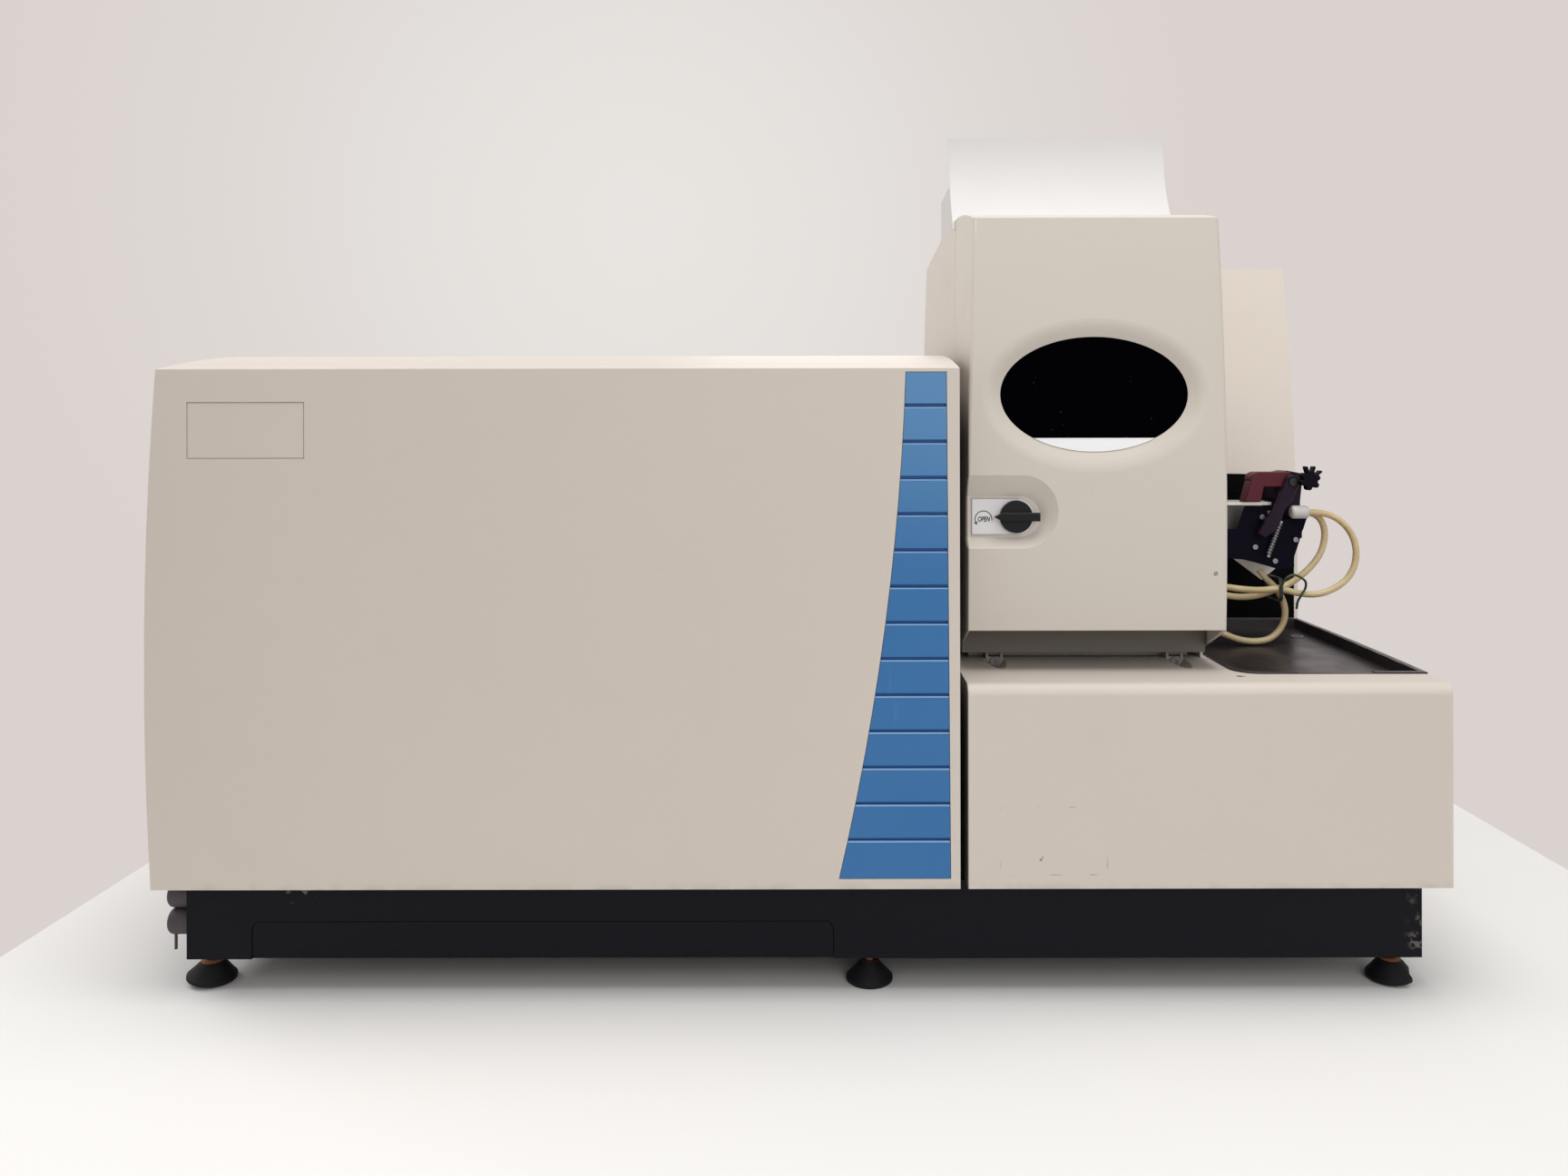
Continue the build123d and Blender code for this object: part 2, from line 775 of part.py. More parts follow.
with BuildPart() as torch_box_cover:
    add(box_volume(0, door_seam))
    add(box_volume(sheet, door_seam - past), mode=Mode.SUBTRACT)
    block(liner_x, duct_y, (box_top_z - past, box_top_z + past), mode=Mode.SUBTRACT)
    with Locations(Plane(origin=(liner_x[0], ion_y, ion_z), z_dir=(-1, 0, 0))):
        Cylinder(interface_radius + 2, 2 * past, mode=Mode.SUBTRACT)
    for y, z in zip(port_ys, port_zs):
        rod(hose_radius + 1, (liner_x[1], y, z), (tower_left, y, z), mode=Mode.SUBTRACT)
keep(torch_box_cover, "torch_box_cover")

holder_x = (torch_right - 20.0, torch_right - 4.0)
spray_z = 500.0
spray_radius = 24.0
transfer_radius = 8.0
transfer_x = torch_right + transfer_radius + seat_gap
with BuildPart() as torch_box_liner:
    block(liner_x, liner_y, liner_z)
    block(
        (liner_x[0] + liner_wall, liner_x[1] - liner_wall),
        (liner_y[0] + liner_wall, liner_y[1] - liner_wall),
        (liner_z[0] + liner_wall, liner_z[1] - liner_wall),
        mode=Mode.SUBTRACT,
    )
    block(
        (liner_x[0] + liner_door_margin, liner_x[1] - liner_door_margin),
        (liner_y[0] - 1, liner_y[0] + liner_wall + 1),
        (shelf_z + liner_door_sill, shelf_z + liner_door_top),
        mode=Mode.SUBTRACT,
    )
    with BuildSketch(facing_up(liner_z[1] - liner_wall - 1)):
        with Locations((box_centre_x, (duct_y[0] + duct_y[1]) / 2)):
            Circle(70)
    extrude(amount=past, mode=Mode.SUBTRACT)
    with Locations(Plane(origin=(liner_x[0], ion_y, ion_z), z_dir=(-1, 0, 0))):
        Cylinder(interface_radius + running_gap, past, mode=Mode.SUBTRACT)
    # post that carries the torch, with a shelf for the spray chamber
    block(holder_x, (ion_y - 16, ion_y + 16), (ion_z - 70, ion_z + 18))
    block((holder_x[0], liner_x[1]), (ion_y - 16, ion_y + 16), (ion_z - 70, ion_z - 66))
    rod(torch_radius + running_gap, (holder_x[0] - 1, ion_y, ion_z), (holder_x[1] + 1, ion_y, ion_z), mode=Mode.SUBTRACT)
    # base of the load coil, on an arm from the post
    block((296, holder_x[0] + 1), (ion_y - 10, ion_y + 10), (ion_z - 75, ion_z - 66))
    block(holder_x, (ion_y - 16, ion_y + 16), (ion_z - 75, ion_z - 66))
    # column under the spray chamber and hole for its outlet
    block((340, 360), (ion_y - 10, ion_y + 10), (liner_z[0] + 1, spray_z - spray_radius - seat_gap))
    rod(transfer_radius + 1, (transfer_x, ion_y, spray_z), (transfer_x, ion_y, ion_z), mode=Mode.SUBTRACT)
    for y, z in zip(port_ys, port_zs):
        rod(hose_radius, (liner_x[1] - 5, y, z), (liner_x[1] + 5, y, z), mode=Mode.SUBTRACT)
keep(torch_box_liner, "torch_box_liner")

port_reach = 3.0
with BuildPart() as hose_ports:
    for y, z in zip(port_ys, port_zs):
        rod(hose_radius - running_gap, (liner_x[1] - 6, y, z), (tower_left + port_reach, y, z))
        rod(hose_radius + 3, (liner_x[1], y, z), (liner_x[1] + 3, y, z))
        rod(hose_radius - 1.5, (liner_x[1] - 7, y, z), (tower_left + port_reach + 1, y, z), mode=Mode.SUBTRACT)
keep(hose_ports, "hose_ports")

with BuildPart() as exhaust_duct:
    block(liner_x, duct_y, (liner_z[1], box_top_z + duct_height))
    block(
        (liner_x[0] + duct_wall, liner_x[1] - duct_wall),
        (duct_y[0] + duct_wall, duct_y[1] - duct_wall),
        (liner_z[1] - 1, box_top_z + duct_height + 1),
        mode=Mode.SUBTRACT,
    )
keep(exhaust_duct, "exhaust_duct")

# The white deflector is a quarter flue: its arc rises from the door seam to the chimney top.
flue_y = front_y + chimney_front_depth
with BuildPart() as chimney_deflector:
    with BuildSketch(facing_right(chimney_left)):
        with Locations((flue_y, chimney_top)):
            Circle(flue_radius + chimney_sheet / 2)
            Circle(flue_radius - chimney_sheet / 2, mode=Mode.SUBTRACT)
        with Locations((flue_y + far / 2, chimney_top - far / 2)):
            Rectangle(far, far, mode=Mode.INTERSECT)
    extrude(amount=chimney_right - chimney_left)
    block(
        (chimney_left, chimney_right),
        (flue_y + flue_radius - 1, duct_y[0]),
        (chimney_top - chimney_sheet, chimney_top),
    )
    block((-far, far), (-far, far), (0, box_top_z - 12), mode=Mode.SUBTRACT)
    block((-far, far), (-far, seam_y(box_top_z) + door_seam + 2), (0, box_top_z + 30), mode=Mode.SUBTRACT)
    add(box_volume(-seat_gap, door_seam - 1), mode=Mode.SUBTRACT)
keep(chimney_deflector, "chimney_deflector")

# ------------------------------------------------------------------ torch box door
window_at = (window_x, window_z)


def door_side(inset, overrun):
    """Side view of the door: bulged front, crowned top, slanting seam and lower rim."""
    rim_run = hinge_y - lip_y
    with BuildSketch() as side:
        with BuildLine():
            crown(lip_y + inset, door_top_z - inset, seam_y(box_top_z) + overrun, box_top_z - inset, 4)
            Line((seam_y(box_top_z) + overrun, box_top_z - inset), (hinge_y + overrun, hinge_z - overrun))
            Line(
                (hinge_y + overrun, hinge_z - overrun),
                (lip_y + inset, lip_z - overrun * (1 + (lip_z - hinge_z) / rim_run)),
            )
            ThreePointArc(
                (lip_y + inset, lip_z - overrun * (1 + (lip_z - hinge_z) / rim_run)),
                (lip_y + inset - door_bulge, shelf_z + door_bulge_height),
                (lip_y + inset, door_top_z - inset),
            )
        make_face()
    return side.sketch


def door_volume(inset, overrun):
    """Door block; the cavity version is inset and runs out past seam and rim."""
    with BuildPart() as volume:
        with BuildSketch(facing_front(front_y - past)):
            add(box_profile(inset))
        extrude(amount=-(cabinet_depth + 2 * past))
        with BuildSketch(facing_right(0)):
            add(door_side(inset, overrun))
        extrude(amount=tower_left, mode=Mode.INTERSECT)
        if not inset:
            fillet(edges().group_by(Axis.Y)[0].group_by(Axis.Z)[-1], door_edge_radius)
    return volume.part


pocket_floor_y = lip_y - door_bulge + pocket_depth
window_back_y = lip_y - door_bulge + window_depth
bulkhead_y = front_y + bulkhead_depth
bulkhead_z = hinge_z - 1.0
rib_x = lug_width / 2 + running_gap
rib_thick = 4.0
rib_z = (lip_z + 8, lip_z + 52)


def stadium(radius, x, z):
    """Slot outline with a round right end that runs out past the door's left edge."""
    with Locations((x, z)):
        Circle(radius)
        with Locations((-2 * past, 0)):
            Rectangle(4 * past, 2 * radius)


def rim_edges(piece, x, z, reach):
    """Edges on the door's bulged front round a well centred at x, z."""
    front = piece.faces().sort_by(Axis.Y)[0]
    return [
        edge
        for edge in front.edges()
        if abs(edge.center().X - x) < reach and abs(edge.center().Z - z) < reach
    ]


with BuildPart() as door_cavity:
    add(door_volume(door_wall, past))
    with BuildSketch(facing_front(pocket_floor_y + door_wall)):
        stadium(pocket_radius + door_wall, pocket_x, pocket_z)
    extrude(amount=2 * past, mode=Mode.SUBTRACT)
    with BuildSketch(facing_front(window_back_y + glass_thick + 2)):
        with Locations(window_at):
            Ellipse(window_half_width + window_slope + 3, window_half_height + window_slope + 3)
    extrude(amount=2 * past, mode=Mode.SUBTRACT)
    for x in hinge_xs:
        block((x + rib_x, x + rib_x + rib_thick), (lip_y - past, hinge_y - 14), rib_z, mode=Mode.SUBTRACT)

with BuildPart() as torch_door:
    add(door_volume(0, 0))
    add(door_cavity.part, mode=Mode.SUBTRACT)
    # soft well down to the window, then the seat of the glass and the sight hole
    with BuildSketch(facing_front(lip_y - door_bulge - 0.5)):
        with Locations(window_at):
            Ellipse(window_half_width + window_slope, window_half_height + window_slope)
    with BuildSketch(facing_front(window_back_y)):
        with Locations(window_at):
            Ellipse(window_half_width, window_half_height)
    loft(mode=Mode.SUBTRACT)
    fillet(rim_edges(torch_door, window_x, window_z, window_half_width + window_slope), window_blend)
    with BuildSketch(facing_front(window_back_y - 0.1)):
        with Locations(window_at):
            Ellipse(window_half_width, window_half_height)
    extrude(amount=-glass_thick - 0.1, mode=Mode.SUBTRACT)
    with BuildSketch(facing_front(window_back_y)):
        with Locations(window_at):
            Ellipse(window_half_width - window_lip, window_half_height - window_lip)
    extrude(amount=-past, mode=Mode.SUBTRACT)
    # latch pocket with sloping walls, open at the left edge
    with BuildSketch(facing_front(lip_y - door_bulge - 0.5)):
        stadium(pocket_radius, pocket_x, pocket_z)
    with BuildSketch(facing_front(pocket_floor_y)):
        stadium(pocket_floor_radius, pocket_x, latch_z)
    loft(mode=Mode.SUBTRACT)
    rod(
        spindle_radius + running_gap, (latch_x, pocket_floor_y - past, latch_z), (latch_x, pocket_floor_y + past, latch_z),
        mode=Mode.SUBTRACT,
    )
    # bulkhead behind the lower lip, in front of the hinge arms
    with BuildSketch(facing_front(bulkhead_y)):
        with Locations((box_centre_x, bulkhead_z + bulkhead_height / 2)):
            Rectangle(2 * (box_bottom_half - door_wall) + 1, bulkhead_height)
    extrude(amount=-bulkhead_thick)
keep(torch_door, "torch_door")


def window_piece(low, high, shrink, thick):
    """Slice of the elliptic window between two heights."""
    with BuildPart() as piece:
        with BuildSketch(facing_front(window_back_y + glass_thick)):
            with Locations(window_at):
                Ellipse(window_half_width - shrink, window_half_height - shrink)
            with Locations((window_x, (low + high) / 2)):
                Rectangle(4 * window_half_width, high - low, mode=Mode.INTERSECT)
        extrude(amount=thick)
    return piece.part


with BuildPart() as window_glass:
    add(window_piece(sill_z, sill_z + far, seat_gap, glass_thick))
keep(window_glass, "window_glass")

with BuildPart() as window_sill:
    add(window_piece(sill_z - far, sill_z - seat_gap, seat_gap, glass_thick + 1))
keep(window_sill, "window_sill")

with BuildPart() as latch_plate:
    with BuildSketch(facing_front(pocket_floor_y)):
        with Locations((latch_x, latch_z)):
            Circle(latch_plate_radius)
        with Locations(((latch_plate_left + latch_x) / 2, latch_z)):
            Rectangle(latch_x - latch_plate_left, 2 * latch_plate_radius)
        with Locations((latch_x, latch_z)):
            Circle(spindle_radius + running_gap, mode=Mode.SUBTRACT)
    extrude(amount=latch_plate_thick)
keep(latch_plate, "latch_plate")

knob_y = pocket_floor_y - latch_plate_thick - seat_gap
bar_y = pocket_floor_y + spindle_reach
with BuildPart() as latch_knob:
    with BuildSketch(facing_front(knob_y)):
        with Locations((latch_x, latch_z)):
            Circle(knob_radius)
    extrude(amount=knob_base)
    with BuildSketch(facing_front(knob_y - knob_base)):
        with BuildLine():
            Polyline(
                (latch_x - wing_length / 2, latch_z),
                (latch_x - wing_length / 2 + wing_width, latch_z - wing_width / 2),
                (latch_x + wing_length / 2, latch_z - wing_width / 2),
                (latch_x + wing_length / 2, latch_z + wing_width / 2),
                (latch_x - wing_length / 2 + wing_width, latch_z + wing_width / 2),
                close=True,
            )
        make_face()
    extrude(amount=wing_height - knob_base)
    chamfer(faces().sort_by(Axis.Y)[0].edges(), 1.0)
    rod(spindle_radius, (latch_x, knob_y, latch_z), (latch_x, bar_y, latch_z))
keep(latch_knob, "latch_knob")

with BuildPart() as latch_bar:
    with BuildSketch(facing_front(bar_y + bar_thick)):
        with Locations((latch_x, latch_z)):
            SlotOverall(bar_length, bar_width)
    extrude(amount=bar_thick)
keep(latch_bar, "latch_bar")

# Keeper: a slotted plate on an arm from the liner.  The bar passes the slot level and
# locks behind it when turned upright.
keeper_back_y = bar_y - 1.5
keeper_x = (latch_x - bar_length / 2 - 10, latch_x + bar_length / 2 + 10)
keeper_z = (latch_z - 22.0, latch_z + 22.0)
arm_z = (keeper_z[1] - keeper_thick, keeper_z[1])
with BuildPart() as latch_keeper:
    block(keeper_x, (keeper_back_y - keeper_thick, keeper_back_y), keeper_z)
    block(
        (latch_x - bar_length / 2 - keeper_gap, latch_x + bar_length / 2 + keeper_gap),
        (keeper_back_y - keeper_thick - 1, keeper_back_y + 1),
        (latch_z - bar_width / 2 - 2 * keeper_gap, latch_z + bar_width / 2 + keeper_gap),
        mode=Mode.SUBTRACT,
    )
    block((liner_x[0], keeper_x[1]), (keeper_back_y - keeper_thick, keeper_back_y), (arm_z[0], arm_z[1]))
    block((liner_x[0] + 2, liner_x[0] + 14), (keeper_back_y - keeper_thick, liner_y[0]), (arm_z[0], arm_z[1]))
    block((liner_x[0] + 2, liner_x[0] + 14), (liner_y[0] - 2, liner_y[0]), (arm_z[0] - 30, arm_z[1]))
keep(latch_keeper, "latch_keeper")

# ------------------------------------------------------------------ door hinges
ear_x = lug_width / 2 + ear_gap
tab_y = (groove_end_y - tab_thick, groove_end_y)
tab_top_z = hinge_z - lug_radius - 0.4
screw_z = shelf_z - 2.5
with BuildPart() as hinge_brackets:
    for x in hinge_xs:
        for side in (-1, 1):
            with BuildSketch(facing_right(x + side * (ear_x + ear_thick / 2) - ear_thick / 2)):
                with Locations((hinge_y, hinge_z)):
                    Circle(lug_radius)
                with Locations((hinge_y, (shelf_z + seat_gap + hinge_z) / 2)):
                    Rectangle(2 * lug_radius, hinge_z - shelf_z - seat_gap)
            extrude(amount=ear_thick)
        with BuildSketch(facing_front(tab_y[1])):
            with BuildLine():
                Polyline(
                    (x - tab_width / 2, tab_top_z), (x - tab_width / 2, shelf_z + seat_gap),
                    (x - 4, shelf_z - groove_depth + 1.5), (x + 4, shelf_z - groove_depth + 1.5),
                    (x + tab_width / 2, shelf_z + seat_gap), (x + tab_width / 2, tab_top_z), close=True,
                )
            make_face()
        extrude(amount=tab_thick)
        rod(
            pin_radius + running_gap, (x - past, hinge_y, hinge_z), (x + past, hinge_y, hinge_z), mode=Mode.SUBTRACT
        )
keep(hinge_brackets, "hinge_brackets")

with BuildPart() as door_hinge_arms:
    for x in hinge_xs:
        with BuildSketch(facing_right(x - lug_width / 2)):
            with Locations((hinge_y, hinge_z)):
                Circle(lug_radius)
            with BuildLine():
                Polyline(
                    (hinge_y - lug_radius, hinge_z),
                    (hinge_y + 4, hinge_z),
                    (hinge_y + 4, hinge_z + arm_height),
                    (hinge_y - arm_reach, hinge_z + arm_height),
                    (hinge_y - arm_reach, hinge_z + arm_height - 30),
                    (hinge_y - arm_thick, hinge_z + arm_height - 45),
                    close=True,
                )
            make_face()
            with Locations((hinge_y, hinge_z)):
                Circle(pin_radius + running_gap, mode=Mode.SUBTRACT)
        extrude(amount=lug_width)
keep(door_hinge_arms, "door_hinge_arms")

with BuildPart() as hinge_pins:
    for x in hinge_xs:
        end_x = ear_x + ear_thick + 1
        rod(pin_radius, (x - end_x, hinge_y, hinge_z), (x + end_x, hinge_y, hinge_z))
        rod(hinge_screw_radius, (x, tab_y[0], screw_z), (x, tab_y[0] - 4, screw_z))
        with BuildSketch(facing_front(tab_y[0] - 2)):
            with Locations((x, screw_z)):
                RegularPolygon(2.2, 6)
        extrude(amount=3, mode=Mode.SUBTRACT)
keep(hinge_pins, "hinge_pins")

# ------------------------------------------------------------------ rear tower
def tower_volume(inset):
    """Tower block with a bowed right side."""
    with BuildPart() as volume:
        with BuildSketch(facing_front(tower_front_y + inset)):
            with BuildLine():
                Polyline(
                    (tower_bottom_x - inset, shelf_z + seat_gap),
                    (tower_left + inset, shelf_z + seat_gap),
                    (tower_left + inset, shelf_z + tower_height - inset),
                    (tower_top_x - inset, shelf_z + tower_height - inset),
                )
                ThreePointArc(
                    (tower_top_x - inset, shelf_z + tower_height - inset),
                    (tower_middle_x - inset, shelf_z + tower_middle_height),
                    (tower_bottom_x - inset, shelf_z + seat_gap),
                )
            make_face()
            fillet(vertices().group_by(Axis.Y)[-1].sort_by(Axis.X)[-1], tower_corner)
        extrude(amount=-(back_y - tower_front_y - 2 * inset))
    return volume.part


with BuildPart() as tower_cover:
    add(tower_volume(0))
    add(tower_volume(sheet), mode=Mode.SUBTRACT)
    rod(drive_radius + 2, (pump_x, tower_front_y - 1, pump_z), (pump_x, tower_front_y + 8, pump_z), mode=Mode.SUBTRACT)
    with BuildSketch(facing_front(back_y - 2 * sheet)):
        with Locations(((tower_left + tower_top_x) / 2, shelf_z + tower_height - 120)):
            with GridLocations(0, 14.0, 1, vent_slots):
                SlotOverall(120, 6)
    extrude(amount=-past, mode=Mode.SUBTRACT)
keep(tower_cover, "tower_cover")

with BuildPart() as sample_bay_panel:
    with BuildSketch(facing_front(tower_front_y)):
        with BuildLine():
            Polyline(
                (tower_left, shelf_z + bay_height),
                (tower_left, shelf_z + tray_rim_thick + seat_gap),
                (bay_right, shelf_z + tray_rim_thick + seat_gap),
                (bay_right, shelf_z + bay_height),
            )
            ThreePointArc(
                (bay_right, shelf_z + bay_height),
                ((tower_left + bay_right) / 2, shelf_z + bay_height + bay_arch),
                (tower_left, shelf_z + bay_height),
            )
        make_face()
        with Locations((pump_x, pump_z)):
            Circle(drive_radius + seat_gap, mode=Mode.SUBTRACT)
    extrude(amount=bay_thick)
    # pressed ledges across the panel
    for z in (shelf_z + 12, shelf_z + bay_height - 24):
        block((tower_left + 6, bay_right - 6), (tower_front_y - bay_thick - 1.5, tower_front_y - bay_thick), (z, z + 2.5))
    rod(drive_radius + seat_gap, (pump_x, tower_front_y - 9, pump_z), (pump_x, tower_front_y, pump_z), mode=Mode.SUBTRACT)
keep(sample_bay_panel, "sample_bay_panel")

# ------------------------------------------------------------------ peristaltic pump
plate_y = (pump_front_y, pump_front_y + pump_plate_thick)
back_plate_y = (pump_back_y, pump_back_y + pump_plate_thick)
bracket_y = (pump_front_y + 15.0, pump_back_y)
bar_layer = (pump_front_y - 9.0, bracket_y[0] - 2.0)
lever_layer = (bar_layer[0] - 1.0 - lever_thick, bar_layer[0] - 1.0)
pin_head_y = lever_layer[0] - seat_gap
pivot_radius = 4.0
ring_radius = 9.0
screw_spots = ((591.0, 460.7), (617.3, 442.1), (600.3, 500.4), (644.5, 470.3))
spring_top = (623.1, 493.7)
spring_bottom = (606.6, 449.4)
hook_radius = 2.0
collar_y = pump_front_y - 11.5

with BuildPart() as pump_drive:
    rod(drive_radius, (pump_x, back_plate_y[1], pump_z), (pump_x, tower_front_y + 20, pump_z))
    rod(drive_radius - 4, (pump_x, tower_front_y + 20, pump_z), (pump_x, tower_front_y + drive_length, pump_z))
keep(pump_drive, "pump_drive")

with BuildPart() as pump_back_plate:
    with BuildSketch(facing_front(back_plate_y[1])):
        with BuildLine():
            Polyline(
                (548, 520), (613, 520), (622, 505), (657, 505), (652, 440), (618, 411), (573, 445), (548, 448), close=True
            )
        make_face()
        with Locations((pump_x, pump_z)):
            Circle(pump_shaft_radius + running_gap, mode=Mode.SUBTRACT)
    extrude(amount=pump_plate_thick)
    block((548, 613), (pump_front_y, back_plate_y[1]), (516, 520))
keep(pump_back_plate, "pump_back_plate")

with BuildPart() as pump_front_plate:
    with BuildSketch(facing_front(plate_y[1])):
        with BuildLine():
            Polyline(
                (568.5, 484), (578.6, 514.7), (605.7, 514.7), (611, 492), (628, 496.6), (635.4, 499), (660, 499),
                (643, 447), (643, 433.7), (623, 430.8), (595, 439), (575.4, 444), (548, 446), (548, 484), close=True,
            )
        make_face()
        fillet(vertices().group_by(Axis.Y)[-1], 5.0)
    extrude(amount=pump_plate_thick)
    # two tool-guide grooves, shaped like hooks
    for x, z in ((582.0, 506.0), (640.0, 491.0)):
        block((x, x + 15), (pump_front_y - 1, pump_front_y + 0.8), (z, z + 3), mode=Mode.SUBTRACT)
        block((x + 12, x + 15), (pump_front_y - 1, pump_front_y + 0.8), (z - 16, z + 3), mode=Mode.SUBTRACT)
    rod(
        pump_shaft_radius + running_gap, (pump_x, plate_y[1] - 2, pump_z), (pump_x, plate_y[1] + 1, pump_z),
        mode=Mode.SUBTRACT,
    )
keep(pump_front_plate, "pump_front_plate")

rotor_y = (plate_y[1] + 1.0, pump_back_y - 1.0)
with BuildPart() as pump_rotor:
    rod(8.0, (pump_x, rotor_y[0], pump_z), (pump_x, rotor_y[1], pump_z))
    rod(pump_shaft_radius, (pump_x, plate_y[1] - 1.5, pump_z), (pump_x, back_plate_y[1] - seat_gap, pump_z))
    for y in (rotor_y[0], rotor_y[1] - 3):
        rod(rotor_radius - roller_radius, (pump_x, y, pump_z), (pump_x, y + 3, pump_z))
    with BuildSketch(facing_front(rotor_y[1] - 1)):
        with Locations((pump_x, pump_z)):
            with PolarLocations(rotor_radius - roller_radius, roller_count):
                Circle(roller_radius)
    extrude(amount=rotor_y[1] - rotor_y[0] - 2)
keep(pump_rotor, "pump_rotor")

with BuildPart() as pump_bracket:
    block((634.5, 655), (plate_y[1], pump_back_y), (472, 497))
    with BuildSketch(facing_front(bracket_y[1])):
        with BuildLine():
            Polyline(
                (622, 557), (640, 561), (661, 557), (657, 520), (657, 499.5), (655, 490), (634.5, 490),
                (634.5, 518), (622, 524), close=True,
            )
        make_face()
    extrude(amount=bracket_y[1] - bracket_y[0])
    block((636, 650), (collar_y + collar_radius - 1.0, bracket_y[0]), (collar_z - 6, collar_z + 6))
    rod(collar_radius + 0.1, (630, collar_y, collar_z), (655, collar_y, collar_z), mode=Mode.SUBTRACT)
    rod(3 + running_gap, (star_x, bracket_y[0] - 1, star_z), (star_x, bracket_y[0] + 8, star_z), mode=Mode.SUBTRACT)
keep(pump_bracket, "pump_bracket")

with BuildPart() as pump_pressure_bar:
    with BuildSketch(facing_front(bar_layer[1])):
        with Locations(((592 + pivot_x) / 2, 550.2)):
            Rectangle(pivot_x - 592, 19.6)
        with Locations((592, 550.2)):
            Circle(9.8)
        with BuildLine():
            Polyline((583.5, 552), (601, 546), (596, 520.5), (575, 520.5), close=True)
        make_face()
        with Locations((pivot_x, pivot_z)):
            Circle(ring_radius)
            Circle(pivot_radius + running_gap, mode=Mode.SUBTRACT)
    extrude(amount=bar_layer[1] - bar_layer[0])
    chamfer(faces().sort_by(Axis.Y)[0].outer_wire().edges(), 1.0)
keep(pump_pressure_bar, "pump_pressure_bar")

with BuildPart() as pump_lever:
    with BuildSketch(facing_front(lever_layer[1])):
        with BuildLine():
            Polyline(
                (627, 551), (620, 535), (611, 512), (601, 499), (590, 480), (598, 474), (608, 480), (617, 489),
                (626, 512), (634, 520), (643, 543), close=True,
            )
        make_face()
        with Locations((pivot_x, pivot_z)):
            Circle(ring_radius)
            Circle(pivot_radius + running_gap, mode=Mode.SUBTRACT)
    extrude(amount=lever_thick)
    chamfer(faces().sort_by(Axis.Y)[0].outer_wire().edges(), 1.0)
keep(pump_lever, "pump_lever")

with BuildPart() as pump_tension_knob:
    with BuildSketch(facing_front(pin_head_y - 3)):
        with Locations((star_x, star_z)):
            Circle(9.5)
            with PolarLocations(9.5, 6, start_angle=20):
                Circle(3.6)
            with PolarLocations(13.5, 3, start_angle=40, angular_range=100):
                SlotOverall(11, 3)
    extrude(amount=11)
    fillet(faces().sort_by(Axis.Y)[0].outer_wire().edges(), 0.6)
    rod(3.0, (star_x, pin_head_y - 3, star_z), (star_x, bracket_y[0] + 7, star_z))
keep(pump_tension_knob, "pump_tension_knob")

spring_line = Vector(spring_top[0], 0, spring_top[1]) - Vector(spring_bottom[0], 0, spring_bottom[1])
spring_length = spring_line.length - 2 * hook_radius - 2 * running_gap
spring_coils = 11
spring_plane = Plane(
    origin=Vector(spring_bottom[0], pump_front_y - 4.2, spring_bottom[1])
    + spring_line.normalized() * (hook_radius + running_gap),
    z_dir=spring_line,
)
with BuildPart() as pump_spring:
    with BuildSketch(Plane.XZ):
        Rectangle(2.4, spring_length, align=(Align.MIN, Align.MIN))
        with GridLocations(0, spring_length / spring_coils, 1, spring_coils):
            with Locations((2.4, spring_length / 2)):
                Circle(1.45)
    revolve(axis=Axis.Z)
pump_spring.part = spring_plane.location * pump_spring.part
keep(pump_spring, "pump_spring")

with BuildPart() as pump_screws:
    for x, z in screw_spots:
        with BuildSketch(facing_front(pump_front_y)):
            with Locations((x, z)):
                Circle(3.3)
        extrude(amount=2.4)
        with BuildSketch(facing_front(pump_front_y - 3)):
            with Locations((x, z)):
                Rectangle(4.2, 1.0)
                Rectangle(1.0, 4.2)
        extrude(amount=-1.6, mode=Mode.SUBTRACT)
    for x, z in (spring_top, spring_bottom):
        rod(hook_radius, (x, pump_front_y, z), (x, pump_front_y - 7.5, z))
    rod(pivot_radius, (pivot_x, bracket_y[0], pivot_z), (pivot_x, pin_head_y, pivot_z))
    rod(5.2, (pivot_x, pin_head_y, pivot_z), (pivot_x, pin_head_y - 2.5, pivot_z))
keep(pump_screws, "pump_screws")

with BuildPart() as tube_collar:
    rod(collar_radius, (collar_left, collar_y, collar_z), (collar_right, collar_y, collar_z))
    chamfer(edges().filter_by(GeomType.CIRCLE).group_by(Axis.X)[0], 2.0)
    rod(collar_radius - 0.8, (collar_right, collar_y, collar_z), (collar_right + collar_cap, collar_y, collar_z))
keep(tube_collar, "tube_collar")

# ------------------------------------------------------------------ hoses
hose_start = collar_right + collar_cap
hose_end = tower_left + port_reach + 1.0


def bend_radii(points):
    """Largest tangent arc at each corner: 0.45 of the shorter run over tan of half the turn."""
    corners = [Vector(*point) for point in points]
    radii = []
    for before, corner, after in zip(corners, corners[1:], corners[2:]):
        turn = radians((corner - before).get_angle(after - corner))
        shorter = min((corner - before).length, (after - corner).length)
        radii.append(0.45 * shorter / tan(turn / 2))
    return radii


def hose(name, points, radius):
    """Round hose along straight runs joined by tangent arcs."""
    radii = bend_radii(points)
    with BuildPart() as tube:
        with BuildLine() as route:
            FilletPolyline(*points, radius=radii)
        with BuildSketch(Plane(origin=points[0], z_dir=Vector(*points[1]) - Vector(*points[0]))):
            Circle(radius)
        sweep(path=route.wires()[0])
    expected = pi * radius**2 * route.wires()[0].length
    print(name, "smallest bend", round(min(radii), 1), "volume ratio", round(tube.part.volume / expected, 4))
    return tube.part


